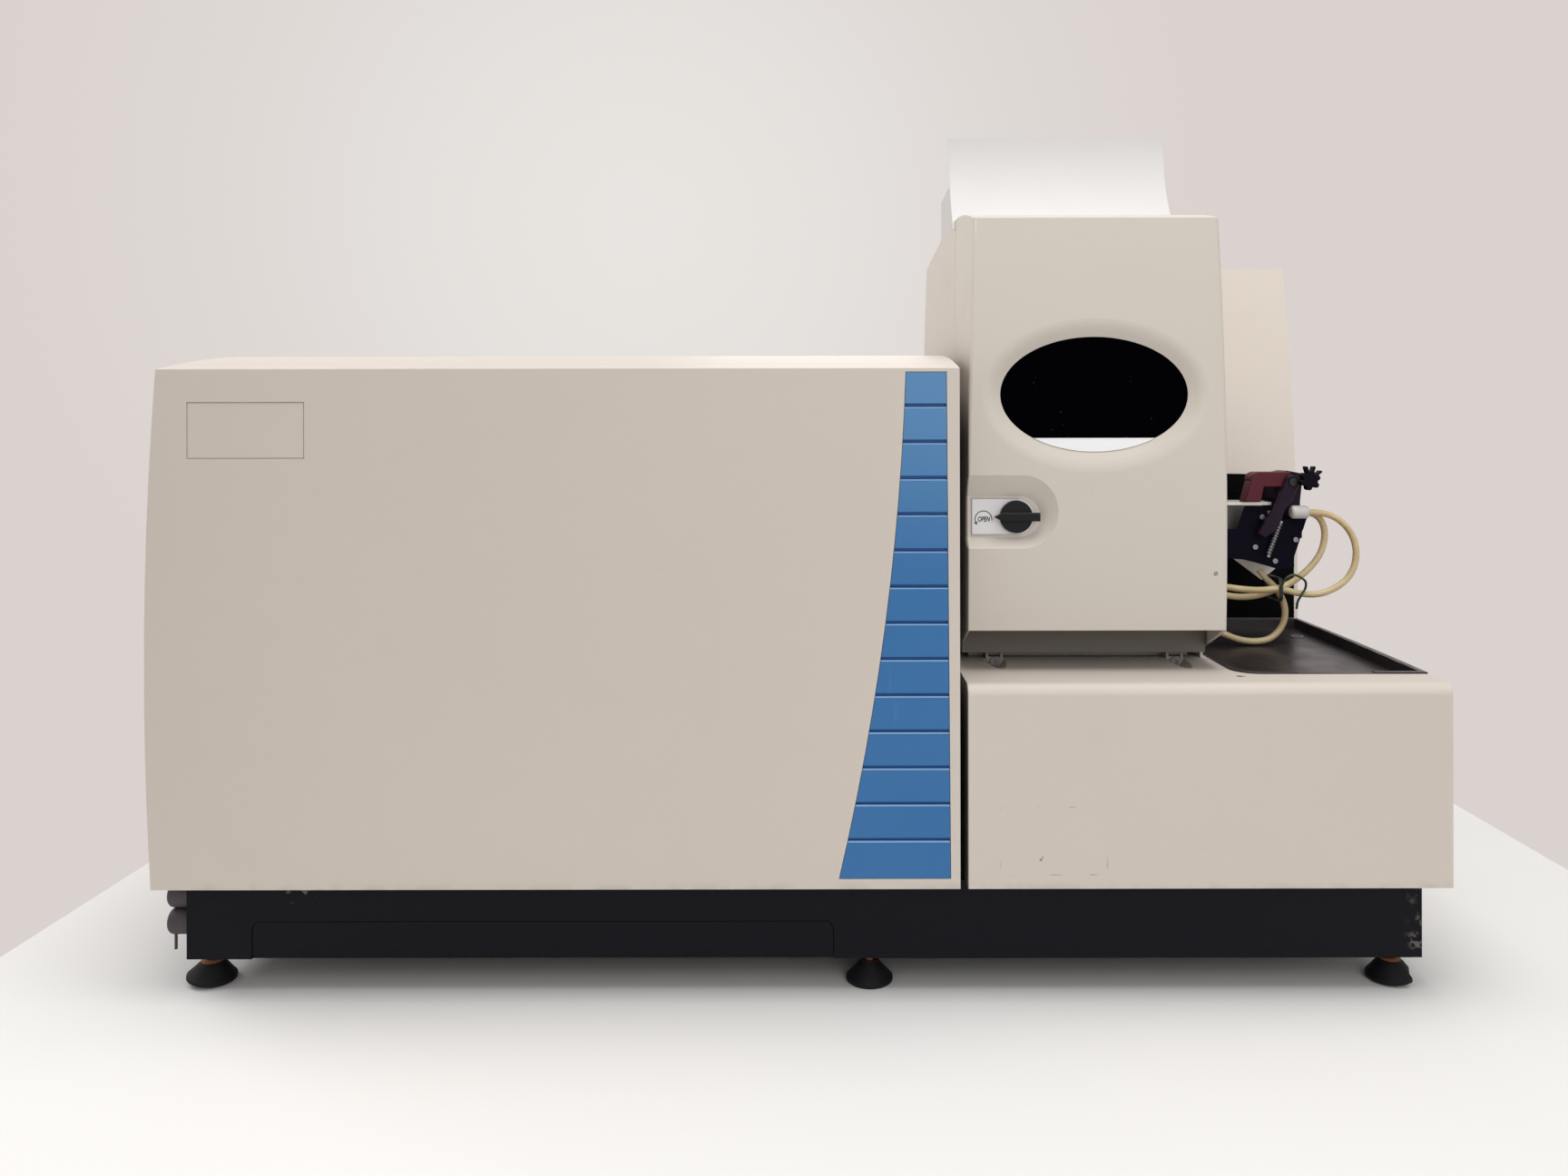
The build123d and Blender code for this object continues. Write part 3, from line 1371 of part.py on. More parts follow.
outer_route = (
    (hose_start, -40.9, collar_z),
    (674.5, -40.9, collar_z),
    (697.0, -43.0, 497.5),
    (713.0, -44.0, 477.0),
    (717.5, -44.5, 452.0),
    (711.0, -44.0, 427.0),
    (693.0, -43.5, 409.5),
    (668.0, -43.0, 399.5),
    (641.0, -42.5, 401.0),
    (617.0, -42.5, 408.5),
    (594.0, -43.5, 405.5),
    (568.0, -45.0, 407.0),
    (540.0, -46.5, 411.5),
    (510.0, -47.0, 411.0),
    (hose_end, port_ys[0], port_zs[0]),
)
inner_route = (
    (hose_start + 1.2, -32.1, collar_z),
    (668.0, -32.0, 504.5),
    (676.5, -31.5, 496.5),
    (681.0, -31.0, 484.0),
    (680.5, -31.0, 469.0),
    (675.5, -31.0, 452.5),
    (665.5, -31.0, 438.0),
    (652.0, -31.0, 425.0),
    (636.0, -31.5, 413.5),
    (616.0, -32.0, 405.5),
    (591.0, -32.0, 396.5),
    (564.0, -32.0, 395.0),
    (536.0, -32.0, 400.5),
    (508.0, -32.0, 400.0),
    (hose_end, port_ys[1], port_zs[1]),
)
lower_route = (
    (604.0, -4.0, 428.0),
    (611.0, -10.0, 417.0),
    (622.0, -16.0, 405.0),
    (631.0, -20.0, 388.5),
    (632.5, -22.5, 369.0),
    (625.5, -24.0, 351.5),
    (611.0, -25.0, 338.5),
    (591.0, -25.5, 335.2),
    (568.0, -25.0, 338.0),
    (545.0, -23.5, 348.0),
    (520.0, -20.0, 352.5),
    (499.0, -14.5, 351.5),
    (hose_end, port_ys[2], port_zs[2]),
)
with BuildPart() as hose_outer:
    add(hose("hose_outer", outer_route, hose_radius))
keep(hose_outer, "hose_outer")
with BuildPart() as hose_inner:
    add(hose("hose_inner", inner_route, hose_radius))
keep(hose_inner, "hose_inner")
with BuildPart() as hose_lower:
    add(hose("hose_lower", lower_route, hose_radius))
keep(hose_lower, "hose_lower")

# Twist tie: two turns round the hoses and a bent tail.
tie_x = 616.5
tie_z = 406.5
tie_y = (outer_route[9][1] - hose_radius - 1.2, lower_route[1][1] + hose_radius + 5.0)
tail_y = tie_y[0] - 0.4
tail_route = (
    (tie_x + 1, tail_y, 412.0),
    (621.5, tail_y - 1.0, 422.0),
    (632.0, tail_y - 1.6, 427.5),
    (640.5, tail_y - 2.0, 424.0),
    (648.5, tail_y - 1.8, 418.0),
    (648.0, tail_y - 1.4, 409.0),
    (642.5, tail_y - 1.0, 400.0),
    (637.5, tail_y - 0.6, 391.5),
    (636.5, tail_y - 0.4, 382.0),
)
with BuildPart() as wire_tie:
    for x in (tie_x - 1.3, tie_x + 1.3):
        with BuildSketch(facing_right(x - 1)):
            with Locations(((tie_y[0] + tie_y[1]) / 2, tie_z)):
                RectangleRounded(tie_y[1] - tie_y[0] + 2.4, 31.6, 8.0)
                RectangleRounded(tie_y[1] - tie_y[0], 29.2, 6.8, mode=Mode.SUBTRACT)
        extrude(amount=2)
    add(hose("wire_tie", tail_route, 1.5))
keep(wire_tie, "wire_tie")

# ------------------------------------------------------------------ inside the cabinet
deck_thick = 4.0
rail_width = 20.0
rail_height = 30.0
rail_ys = (ion_y - chamber_width / 2 + rail_width / 2, ion_y + chamber_width / 2 - rail_width / 2)
post_xs = (-560.0, 88.0)
with BuildPart() as chassis_frame:
    block(
        (left_bottom_x + 62, left_inner_x - 37), (front_y + 62, back_y - 62), (deck_z, deck_z + deck_thick)
    )
    for x in post_xs:
        for y in rail_ys:
            block(
                (x - rail_width / 2, x + rail_width / 2), (y - rail_width / 2, y + rail_width / 2),
                (deck_z + deck_thick, chamber_bottom - rail_height),
            )
    for y in rail_ys:
        block(
            (post_xs[0] - rail_width / 2, post_xs[1] + rail_width / 2), (y - rail_width / 2, y + rail_width / 2),
            (chamber_bottom - rail_height, chamber_bottom),
        )
    block((right_inner_x + 37, right_front_x - 52), (front_y + 62, back_y - 62), (deck_z, deck_z + deck_thick))
keep(chassis_frame, "chassis_frame")

turbo_xs = (-40.0, -40.0 - turbo_spacing)
with BuildPart() as vacuum_chamber:
    block(
        (chamber_left, chamber_right), (ion_y - chamber_width / 2, ion_y + chamber_width / 2),
        (chamber_bottom, chamber_top),
    )
    block(
        (chamber_left + chamber_wall, chamber_right - chamber_wall),
        (ion_y - chamber_width / 2 + chamber_wall, ion_y + chamber_width / 2 - chamber_wall),
        (chamber_bottom + chamber_wall, chamber_top + 1),
        mode=Mode.SUBTRACT,
    )
    with BuildSketch(facing_up(chamber_bottom - 1)):
        with Locations([(x, ion_y) for x in turbo_xs]):
            Circle(turbo_radius - 8)
    extrude(amount=chamber_wall + 2, mode=Mode.SUBTRACT)
    rod(interface_bore, (chamber_right - past, ion_y, ion_z), (chamber_right + 1, ion_y, ion_z), mode=Mode.SUBTRACT)
    # lid, a solid of its own on the chamber's rim
    block(
        (chamber_left, chamber_right), (ion_y - chamber_width / 2, ion_y + chamber_width / 2),
        (chamber_top + 0.1, chamber_top + 0.1 + lid_thick),
    )
keep(vacuum_chamber, "vacuum_chamber")

with BuildPart() as turbo_pumps:
    for x in turbo_xs:
        with BuildSketch(facing_front(ion_y)):
            with BuildLine():
                Polyline(
                    (x, chamber_bottom), (x + turbo_flange_radius, chamber_bottom),
                    (x + turbo_flange_radius, chamber_bottom - 14), (x + turbo_radius, chamber_bottom - 16),
                    (x + turbo_radius, chamber_bottom - turbo_length + 50),
                    (x + turbo_radius - 20, chamber_bottom - turbo_length + 30),
                    (x + turbo_radius - 20, chamber_bottom - turbo_length), (x, chamber_bottom - turbo_length),
                    close=True,
                )
            make_face()
        revolve(axis=Axis((x, ion_y, 0), (0, 0, 1)))
keep(turbo_pumps, "turbo_pumps")

with BuildPart() as interface_housing:
    rod(interface_radius, (chamber_right, ion_y, ion_z), (interface_right, ion_y, ion_z))
    rod(interface_bore, (chamber_right - 1, ion_y, ion_z), (interface_right - 10, ion_y, ion_z), mode=Mode.SUBTRACT)
    rod(12.0, (chamber_right, ion_y, ion_z), (interface_right + 1, ion_y, ion_z), mode=Mode.SUBTRACT)
keep(interface_housing, "interface_housing")

with BuildPart() as interface_cones:
    for outline in (
        ((262, 1), (262, 30), (265, 30), (265, 14), (284, 1.5), (284, 0.6), (281, 0.6), (264, 11.5)),
        ((236, 6), (236, 37.9), (240, 37.9), (240, 10), (262, 1.4), (262, 0.5), (259, 0.5), (238, 7.5)),
    ):
        with BuildSketch(facing_front(ion_y)):
            with BuildLine():
                Polyline(*[(x, ion_z + r) for x, r in outline], close=True)
            make_face()
        revolve(axis=Axis((0, ion_y, ion_z), (1, 0, 0)))
keep(interface_cones, "interface_cones")

rods_x = (-330.0, -330.0 + rod_length)
holder_xs = (rods_x[0] + 18, rods_x[1] - 30)
rod_spots = [(y, z) for y in (-1, 1) for z in (-1, 1)]
rod_offset = rod_circle / sqrt(2)
with BuildPart() as quadrupole_rods:
    for side_y, side_z in rod_spots:
        y = ion_y + side_y * rod_offset
        z = ion_z + side_z * rod_offset
        rod(rod_radius, (rods_x[0], y, z), (rods_x[1], y, z))
keep(quadrupole_rods, "quadrupole_rods")

chamber_floor = chamber_bottom + chamber_wall
with BuildPart() as rod_holders:
    for x in holder_xs:
        block((x, x + 12), (ion_y - 45, ion_y + 45), (chamber_floor, ion_z + 40))
        rod(rod_circle - rod_radius + 1, (x - 1, ion_y, ion_z), (x + 13, ion_y, ion_z), mode=Mode.SUBTRACT)
        for side_y, side_z in rod_spots:
            y = ion_y + side_y * rod_offset
            z = ion_z + side_z * rod_offset
            rod(rod_radius + running_gap, (x - 1, y, z), (x + 13, y, z), mode=Mode.SUBTRACT)
keep(rod_holders, "rod_holders")

lens_count = 5
lens_pitch = 14.0
with BuildPart() as lens_stack:
    for i in range(lens_count):
        x = 24.0 + i * lens_pitch
        rod(36.0, (x, ion_y, ion_z), (x + 3, ion_y, ion_z))
    for angle in (90, 210, 330):
        y = ion_y + 30 * cos(radians(angle))
        z = ion_z + 30 * sin(radians(angle))
        rod(3.0, (24, y, z), (24 + (lens_count - 1) * lens_pitch, y, z))
    block((24, 27), (ion_y - 20, ion_y + 20), (chamber_floor, ion_z - 20))
    rod(7.0, (0, ion_y, ion_z), (100, ion_y, ion_z), mode=Mode.SUBTRACT)
keep(lens_stack, "lens_stack")

with BuildPart() as ion_detector:
    block((-455, -385), (ion_y - 25, ion_y + 25), (chamber_floor, ion_z + 28))
    rod(10.0, (-420, ion_y, ion_z), (-380, ion_y, ion_z), mode=Mode.SUBTRACT)
keep(ion_detector, "ion_detector")

with BuildPart() as plasma_torch:
    for x, outside, inside in ((torch_left, torch_radius, 8.6), (320, 7.6, 6.4), (336, 3.0, 1.4)):
        rod(outside, (x, ion_y, ion_z), (torch_right, ion_y, ion_z))
        rod(inside, (x - 1, ion_y, ion_z), (torch_right - 6, ion_y, ion_z), mode=Mode.SUBTRACT)
keep(plasma_torch, "plasma_torch")

coil_left = 303.0
coil_length = coil_turns * coil_pitch
coil_plane = Plane(origin=(coil_left, ion_y, ion_z), x_dir=(0, 0, -1), z_dir=(1, 0, 0))
turns = coil_plane.location * Helix(pitch=coil_pitch, height=coil_length, radius=coil_radius).edge()
with BuildPart() as load_coil:
    with BuildSketch(Plane(origin=turns @ 0, z_dir=turns % 0)):
        Circle(coil_wire)
    sweep(path=turns, is_frenet=True)
    for end in (turns @ 0, turns @ 1):
        rod(coil_wire, (end.X, end.Y, end.Z), (end.X, end.Y, ion_z - 66 + seat_gap))
keep(load_coil, "load_coil")

chamber_x = (312.0, 400.0)
with BuildPart() as spray_chamber:
    rod(spray_radius, (chamber_x[0], ion_y, spray_z), (chamber_x[1], ion_y, spray_z))
    fillet(edges().filter_by(GeomType.CIRCLE).group_by(Axis.X)[-1], 12.0)
    rod(transfer_radius, (chamber_x[1] - 2, ion_y, spray_z), (transfer_x, ion_y, spray_z))
    rod(transfer_radius, (transfer_x, ion_y, spray_z - transfer_radius), (transfer_x, ion_y, ion_z + transfer_radius))
    rod(4.0, (chamber_x[0] - 30, ion_y, spray_z), (chamber_x[0], ion_y, spray_z))
keep(spray_chamber, "spray_chamber")

with BuildPart() as rf_generator:
    block((300, 560), (-60, 200), (deck_z + deck_thick, 275))
    with BuildSketch(facing_front(201)):
        with Locations((430, 276)):
            with GridLocations(20, 0, 12, 1):
                Rectangle(12, 40)
    extrude(amount=262, mode=Mode.SUBTRACT)
keep(rf_generator, "rf_generator")

fan_y = (back_y - sheet - fan_depth, back_y - sheet)
with BuildPart() as fan_frame:
    block((fan_x - 60, fan_x + 60), fan_y, (fan_z - 60, fan_z + 60))
    rod(56.0, (fan_x, fan_y[0] - 1, fan_z), (fan_x, fan_y[1] + 1, fan_z), mode=Mode.SUBTRACT)
    block((fan_x - 58, fan_x + 58), (fan_y[0], fan_y[0] + 4), (fan_z - 4, fan_z + 4))
    block((fan_x - 4, fan_x + 4), (fan_y[0], fan_y[0] + 4), (fan_z - 58, fan_z + 58))
    rod(18.0, (fan_x, fan_y[0], fan_z), (fan_x, fan_y[0] + 4, fan_z))
    rod(3.0, (fan_x, fan_y[0], fan_z), (fan_x, fan_y[0] + 24, fan_z))
keep(fan_frame, "fan_frame")

blade_shape = Pos(0, 0, 36) * Rot(0, 0, 38) * Box(22, 2, 34)
blades = [Pos(fan_x, fan_y[0] + 17, fan_z) * Rot(0, 360 * i / fan_blades, 0) * blade_shape for i in range(fan_blades)]
with BuildPart() as fan_rotor:
    rod(20.0, (fan_x, fan_y[0] + 5, fan_z), (fan_x, fan_y[0] + 30, fan_z))
    add(blades)
    rod(3 + running_gap, (fan_x, fan_y[0] + 4, fan_z), (fan_x, fan_y[0] + 25, fan_z), mode=Mode.SUBTRACT)
keep(fan_rotor, "fan_rotor")
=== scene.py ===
"""Looks of a bench plasma mass spectrometer, laid out as an add-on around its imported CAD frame."""

from math import cos, pi, radians, sin

import bpy
from mathutils import Matrix, Vector


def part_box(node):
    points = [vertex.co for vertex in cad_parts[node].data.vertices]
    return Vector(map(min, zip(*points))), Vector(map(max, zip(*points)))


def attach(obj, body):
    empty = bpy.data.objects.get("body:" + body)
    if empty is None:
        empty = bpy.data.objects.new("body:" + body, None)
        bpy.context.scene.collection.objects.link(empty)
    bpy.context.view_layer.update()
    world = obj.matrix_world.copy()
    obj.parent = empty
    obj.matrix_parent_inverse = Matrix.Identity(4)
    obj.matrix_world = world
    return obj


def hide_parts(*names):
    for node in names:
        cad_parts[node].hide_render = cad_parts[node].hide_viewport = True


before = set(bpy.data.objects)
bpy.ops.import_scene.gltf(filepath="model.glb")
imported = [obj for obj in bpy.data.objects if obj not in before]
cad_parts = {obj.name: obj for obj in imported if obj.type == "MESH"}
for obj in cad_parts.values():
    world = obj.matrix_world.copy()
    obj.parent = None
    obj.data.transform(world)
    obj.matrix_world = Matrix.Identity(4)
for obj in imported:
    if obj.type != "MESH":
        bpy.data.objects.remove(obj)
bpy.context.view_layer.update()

bl_info = {
    "name": "Bench Mass Spectrometer",
    "version": (1, 0, 0),
    "blender": (4, 5, 0),
    "location": "View3D > Sidebar > Spectrometer",
    "description": "Finishes, labels, hoses, stage and camera of a bench plasma mass spectrometer",
    "category": "Object",
}

MM = 0.001

# Length in metres and route in millimetres of each piece of pump tubing
ROUTES = {
    "hose_outer": (
        0.361,
        (
            (655.5, -40.9, 507.5),
            (674.5, -40.9, 507.5),
            (697.0, -43.0, 497.5),
            (713.0, -44.0, 477.0),
            (717.5, -44.5, 452.0),
            (711.0, -44.0, 427.0),
            (693.0, -43.5, 409.5),
            (668.0, -43.0, 399.5),
            (641.0, -42.5, 401.0),
            (617.0, -42.5, 408.5),
            (594.0, -43.5, 405.5),
            (568.0, -45.0, 407.0),
            (540.0, -46.5, 411.5),
            (510.0, -47.0, 411.0),
            (482.0, -47.0, 410.0),
        ),
    ),
    "hose_inner": (
        0.283,
        (
            (656.7, -32.1, 507.5),
            (668.0, -32.0, 504.5),
            (676.5, -31.5, 496.5),
            (681.0, -31.0, 484.0),
            (680.5, -31.0, 469.0),
            (675.5, -31.0, 452.5),
            (665.5, -31.0, 438.0),
            (652.0, -31.0, 425.0),
            (636.0, -31.5, 413.5),
            (616.0, -32.0, 405.5),
            (591.0, -32.0, 396.5),
            (564.0, -32.0, 395.0),
            (536.0, -32.0, 400.5),
            (508.0, -32.0, 400.0),
            (482.0, -32.0, 399.0),
        ),
    ),
    "hose_lower": (
        0.242,
        (
            (604.0, -4.0, 428.0),
            (611.0, -10.0, 417.0),
            (622.0, -16.0, 405.0),
            (631.0, -20.0, 388.5),
            (632.5, -22.5, 369.0),
            (625.5, -24.0, 351.5),
            (611.0, -25.0, 338.5),
            (591.0, -25.5, 335.2),
            (568.0, -25.0, 338.0),
            (545.0, -23.5, 348.0),
            (520.0, -20.0, 352.5),
            (499.0, -14.5, 351.5),
            (482.0, -11.0, 351.0),
        ),
    ),
}


# ------------------------------------------------------------------ shader maths


class Value:
    """A shader socket whose arithmetic adds Math nodes."""

    def __init__(self, graph, socket):
        self.graph = graph
        self.socket = socket

    def _math(self, operation, *values):
        return self.graph.node("ShaderNodeMath", {"operation": operation}, dict(enumerate(values)))

    def __add__(self, other):
        return self._math("ADD", self, other)

    __radd__ = __add__

    def __sub__(self, other):
        return self._math("SUBTRACT", self, other)

    def __rsub__(self, other):
        return self._math("SUBTRACT", other, self)

    def __mul__(self, other):
        return self._math("MULTIPLY", self, other)

    __rmul__ = __mul__

    def __lt__(self, other):
        return self._math("LESS_THAN", self, other)

    def __gt__(self, other):
        return self._math("GREATER_THAN", self, other)

    def __abs__(self):
        return self._math("ABSOLUTE", self)

    def highest(self, other):
        return self._math("MAXIMUM", self, other)

    def steps(self, low, high):
        """0 at low, 1 at high, clamped and smooth between them."""
        settings = {"interpolation_type": "SMOOTHSTEP"}
        ends = {"Value": self, "From Min": low, "From Max": high}
        return self.graph.node("ShaderNodeMapRange", settings, ends)


class Graph:
    """The nodes of one tree, all added by the method called node."""

    def __init__(self, tree):
        self.tree = tree

    def node(self, kind, settings=None, inputs=None, output=0):
        made = self.tree.nodes.new(kind)
        for key, value in (settings or {}).items():
            setattr(made, key, value)
        for key, value in (inputs or {}).items():
            self.feed(made.inputs[key], value)
        return Value(self, made.outputs[output])

    def feed(self, socket, value):
        if isinstance(value, Value):
            self.tree.links.new(value.socket, socket)
        elif socket.type == "RGBA" and len(value) == 3:
            socket.default_value = (*value, 1.0)
        else:
            socket.default_value = value

    def mix(self, factor, one, other):
        return self.node("ShaderNodeMix", {"data_type": "RGBA"}, {0: factor, 6: one, 7: other}, 2)

    def distance(self, one, other):
        return self.node("ShaderNodeVectorMath", {"operation": "DISTANCE"}, {0: one, 1: other}, "Value")


class Finish(Graph):
    """A procedural material, with one method for each kind of thing it is made of."""

    def __init__(self, name, **surface):
        self.material = bpy.data.materials.new(name)
        self.material.use_nodes = True
        super().__init__(self.material.node_tree)
        self.shader = self.tree.nodes["Principled BSDF"]
        self.surface(**surface)
        self.place = self.node("ShaderNodeTexCoord", output="Object")

    def surface(self, **sockets):
        """Sets or links sockets of the surface shader, named in lower case with underscores."""
        for name, value in sockets.items():
            self.feed(self.shader.inputs[name.replace("_", " ").title().replace("Ior", "IOR")], value)
        return self

    def paint(self, factor, under, over):
        """Starts the base colour as a mixture of two colours."""
        self.base = self.mix(factor, under, over)
        return self.surface(base_color=self.base)

    def tint(self, factor, colour):
        """Lays a colour over the base colour, as far as factor says."""
        return self.paint(factor, self.base, colour)

    def axis(self, name):
        """A coordinate in the part's frame, in millimetres."""
        return self.node("ShaderNodeSeparateXYZ", inputs={"Vector": self.place}, output=name) * (1 / MM)

    def noise(self, scale, detail=2.0, stretch=(1.0, 1.0, 1.0)):
        place = self.node("ShaderNodeMapping", inputs={"Vector": self.place, "Scale": stretch})
        return self.node("ShaderNodeTexNoise", inputs={"Vector": place, "Scale": scale, "Detail": detail})

    def bump(self, height, depth, strength):
        """Bumps of the surface, with their depth in millimetres."""
        bumps = {"Height": height, "Distance": depth * MM, "Strength": strength}
        return self.surface(normal=self.node("ShaderNodeBump", inputs=bumps))


def shade(colour, factor):
    """The colour made darker, or lighter where factor is over 1."""
    return tuple(channel * factor for channel in colour)


# ------------------------------------------------------------------ finishes

# Places of masks and marks are in millimetres of the part's frame. A mask fades between a pair of places.

# Colours of the painted shadow in the gap between the two housings and of the painted shade in small holes
GAP_SHADOW = (0.012, 0.010, 0.010)
HOLE_SHADE = (0.02, 0.016, 0.014)


def cabinet_paint(name, colour, grime, grain):
    """Sprayed paint: faint clouding and orange peel, a few specks, and grubby low edges."""
    finish = Finish(name, specular_ior_level=0.35, coat_weight=0.03, coat_roughness=0.4)
    low_edge = (122.0, 134.0)
    cloud = finish.noise(1.7, 4.0).steps(0.3, 0.7)
    smear = finish.noise(7.0, 5.0, (1.0, 1.0, 2.2)).steps(0.55, 0.9)
    speck = finish.noise(310.0, 1.0).steps(0.82, 0.85)
    low = (1 - finish.axis("Z").steps(*low_edge)) * finish.noise(45.0, 3.0).steps(0.35, 0.7)
    finish.paint(cloud, shade(colour, 0.985), shade(colour, 1.01))
    finish.tint(smear * 0.05, grime)
    finish.tint(speck * 0.3, grime)
    finish.tint(low * 0.25, grime)
    finish.surface(roughness=0.46 + cloud * 0.06 + smear * 0.06)
    peel = finish.noise(grain, 2.0) * 0.7 + finish.noise(grain * 0.28, 2.0) * 0.6
    return finish.bump(peel, 0.05, 0.4)


def spots(finish, places, dirt, core=None):
    """Small marks in the paint: each is a place and a radius, with an optional pale core."""
    for place, radius in places:
        reach = finish.distance(finish.place, tuple(size * MM for size in place))
        reach = reach * (1 / (radius * MM)) + (finish.noise(420.0, 3.0) - 0.5) * 1.2
        finish.tint(1 - reach.steps(0.7, 1.1), dirt)
        if core:
            finish.tint(1 - reach.steps(0.2, 0.5), core)
    return finish


def rectangle_distance(finish, left, right, bottom, top):
    """Distance outside (positive) or inside (negative) an upright rectangle."""
    x, z = map(finish.axis, "XZ")
    across = abs(x - (left + right) / 2) - (right - left) / 2
    up = abs(z - (bottom + top) / 2) - (top - bottom) / 2
    return across.highest(up)


def base_paint(name, colour, grime, grain):
    """Cabinet paint with painted shadow on its left face, a few marks (some of them painted shade of holes),
    and the glue ghost of a peeled label in front.
    """
    finish = cabinet_paint(name, colour, grime, grain)
    x, y = map(finish.axis, "XY")
    shaded_left_face = (173.2, 174.4)
    front = y < -280.0
    # Painted shadow of the gap between the housings, over the left face
    finish.tint((1 - x.steps(*shaded_left_face)) * 0.85, GAP_SHADOW)
    edge = rectangle_distance(finish, left=208.0, right=322.0, bottom=139.0, top=211.0)
    line = (1 - abs(edge).steps(0.2, 0.9)) * finish.noise(60.0, 4.0).steps(0.52, 0.66) * front
    film = (edge < 0.0) * finish.noise(30.0, 4.0).steps(0.35, 0.75) * front
    finish.tint(film * 0.12, shade(colour, 1.06))
    finish.tint(line * 0.6, grime)
    # Painted shade: dark spots on the top for a screw hole with its small shadow, and one more small spot
    top_marks = ((479.0, -280.5, 342.0), 3.4), ((484.0, -281.5, 342.0), 1.8), ((298.4, -258.5, 342.0), 0.9)
    front_marks = ((251.0, -325.0, 155.0), 1.7), ((253.0, -325.0, 158.0), 1.0)
    return spots(spots(finish, top_marks, HOLE_SHADE), front_marks, shade(grime, 1.2))


def door_paint(name, colour, grime, grain):
    """Cabinet paint with painted shade on its inside and painted shadow on its left face, a small chip, and
    rubbed paint beside the latch.
    """
    finish = cabinet_paint(name, colour, grime, grain)
    x, y, z = map(finish.axis, "XYZ")
    shaded_inside_depth = (-204.0, -194.0)
    shaded_inside_top = (390.0, 400.0)
    shaded_left_face = (181.6, 183.4)
    shadow_top = (600.0, 770.0)
    rubbed = ((250.0, -251.0, 506.0), 4.5)
    chip = ((460.4, -260.3, 453.2), 2.6)
    # Painted shade on the door's inside part, behind its front and below the window
    finish.tint(y.steps(*shaded_inside_depth) * (1 - z.steps(*shaded_inside_top)) * 0.75, (0.04, 0.028, 0.02))
    # Painted shadow of the gap between the housings on the left face, fading out upwards
    finish.tint((1 - x.steps(*shaded_left_face)) * (1 - z.steps(*shadow_top)) * 0.85, GAP_SHADOW)
    spots(finish, (rubbed,), shade(colour, 0.55))
    return spots(finish, (chip,), (0.10, 0.06, 0.045), (0.55, 0.50, 0.47))


def chipped_black(name, colour, bare):
    """Black powder coat, chipped to dull metal at both ends of its front and rubbed along its top edge."""
    finish = Finish(name, specular_ior_level=0.12)
    x, y, z = map(finish.axis, "XYZ")
    worn_x, worn_z = -554.0, 111.0
    right_end = (650.0, 664.0)
    front = -292.0
    top_edge = 117.0
    scuff = finish.noise(14.0, 6.0, (0.3, 1.0, 1.6)).steps(0.55, 0.85)
    flake = finish.noise(95.0, 5.0).steps(0.54, 0.57)
    left = (1 - abs(x - worn_x).steps(5.0, 22.0)) * (1 - abs(z - worn_z).steps(4.0, 13.0))
    right = x.steps(*right_end) * (y < front) * finish.noise(40.0, 3.0).steps(0.45, 0.62)
    chips = left.highest(right) * flake
    rim = (1 - abs(z - top_edge).steps(0.5, 3.0)) * finish.noise(60.0, 4.0).steps(0.66, 0.74)
    finish.paint(scuff * 0.4, colour, shade(colour, 2.0))
    finish.tint(chips.highest(rim * 0.3), bare)
    finish.surface(roughness=0.5 + scuff * 0.2, metallic=chips * 0.3)
    return finish.bump(finish.noise(700.0, 2.0) * 0.7 - chips * 1.4, 0.15, 0.5)


def graded_blue(name, top, bottom):
    """Satin blue moulding, deeper towards its foot, with painted shade in its grooves, painted highlights on
    their lips, and a few scratches.
    """
    finish = Finish(name, specular_ior_level=0.3, coat_weight=0.04, coat_roughness=0.35)
    y, z = map(finish.axis, "YZ")
    fade = (420.0, 680.0)
    lit_lip_front, lit_lip_back = (-324.8, -324.5), (-322.6, -322.0)
    shaded_groove = (-322.6, -321.0)
    scratch = finish.noise(36.0, 3.0, (1.0, 1.0, 0.12)).steps(0.68, 0.74)
    cloud = finish.noise(7.0, 4.0).steps(0.3, 0.7)
    finish.paint(z.steps(*fade), bottom, top)
    finish.tint(cloud * 0.05, shade(top, 1.2))
    finish.tint(scratch * 0.04, (0.7, 0.75, 0.8))
    # Painted shade in the grooves, behind the front face
    finish.tint(y.steps(*shaded_groove) * 0.8, (0.018, 0.110, 0.340))
    # Painted highlight on the sloping lip between the front and each groove
    finish.tint(y.steps(*lit_lip_front) * (1 - y.steps(*lit_lip_back)) * 0.8, (0.42, 0.60, 0.80))
    finish.surface(roughness=0.42 + cloud * 0.08)
    return finish.bump(finish.noise(900.0, 2.0), 0.05, 0.4)


def plain_coat(name, colour, roughness, metallic=0.0, grain=900.0, depth=0.1, mark=0.12, **surface):
    """Even coat or moulding with a fine grain and soft uneven patches."""
    finish = Finish(name, metallic=metallic, **surface)
    patch = finish.noise(24.0, 4.0).steps(0.35, 0.7)
    finish.paint(patch * mark, colour, tuple(min(1.0, channel * 1.6 + 0.02) for channel in colour))
    finish.surface(roughness=roughness + patch * 0.1)
    return finish.bump(finish.noise(grain, 2.0), depth, 0.5)


def brushed_metal(name, colour, roughness, stretch):
    """Drawn or turned metal with fine lines along one way."""
    finish = Finish(name, metallic=1.0)
    lines = finish.noise(420.0, 3.0, stretch)
    stain = finish.noise(30.0, 4.0).steps(0.5, 0.8)
    finish.paint(stain * 0.35, colour, shade(colour, 0.62))
    finish.surface(roughness=roughness + lines * 0.16 + stain * 0.1)
    return finish.bump(lines, 0.06, 0.5)


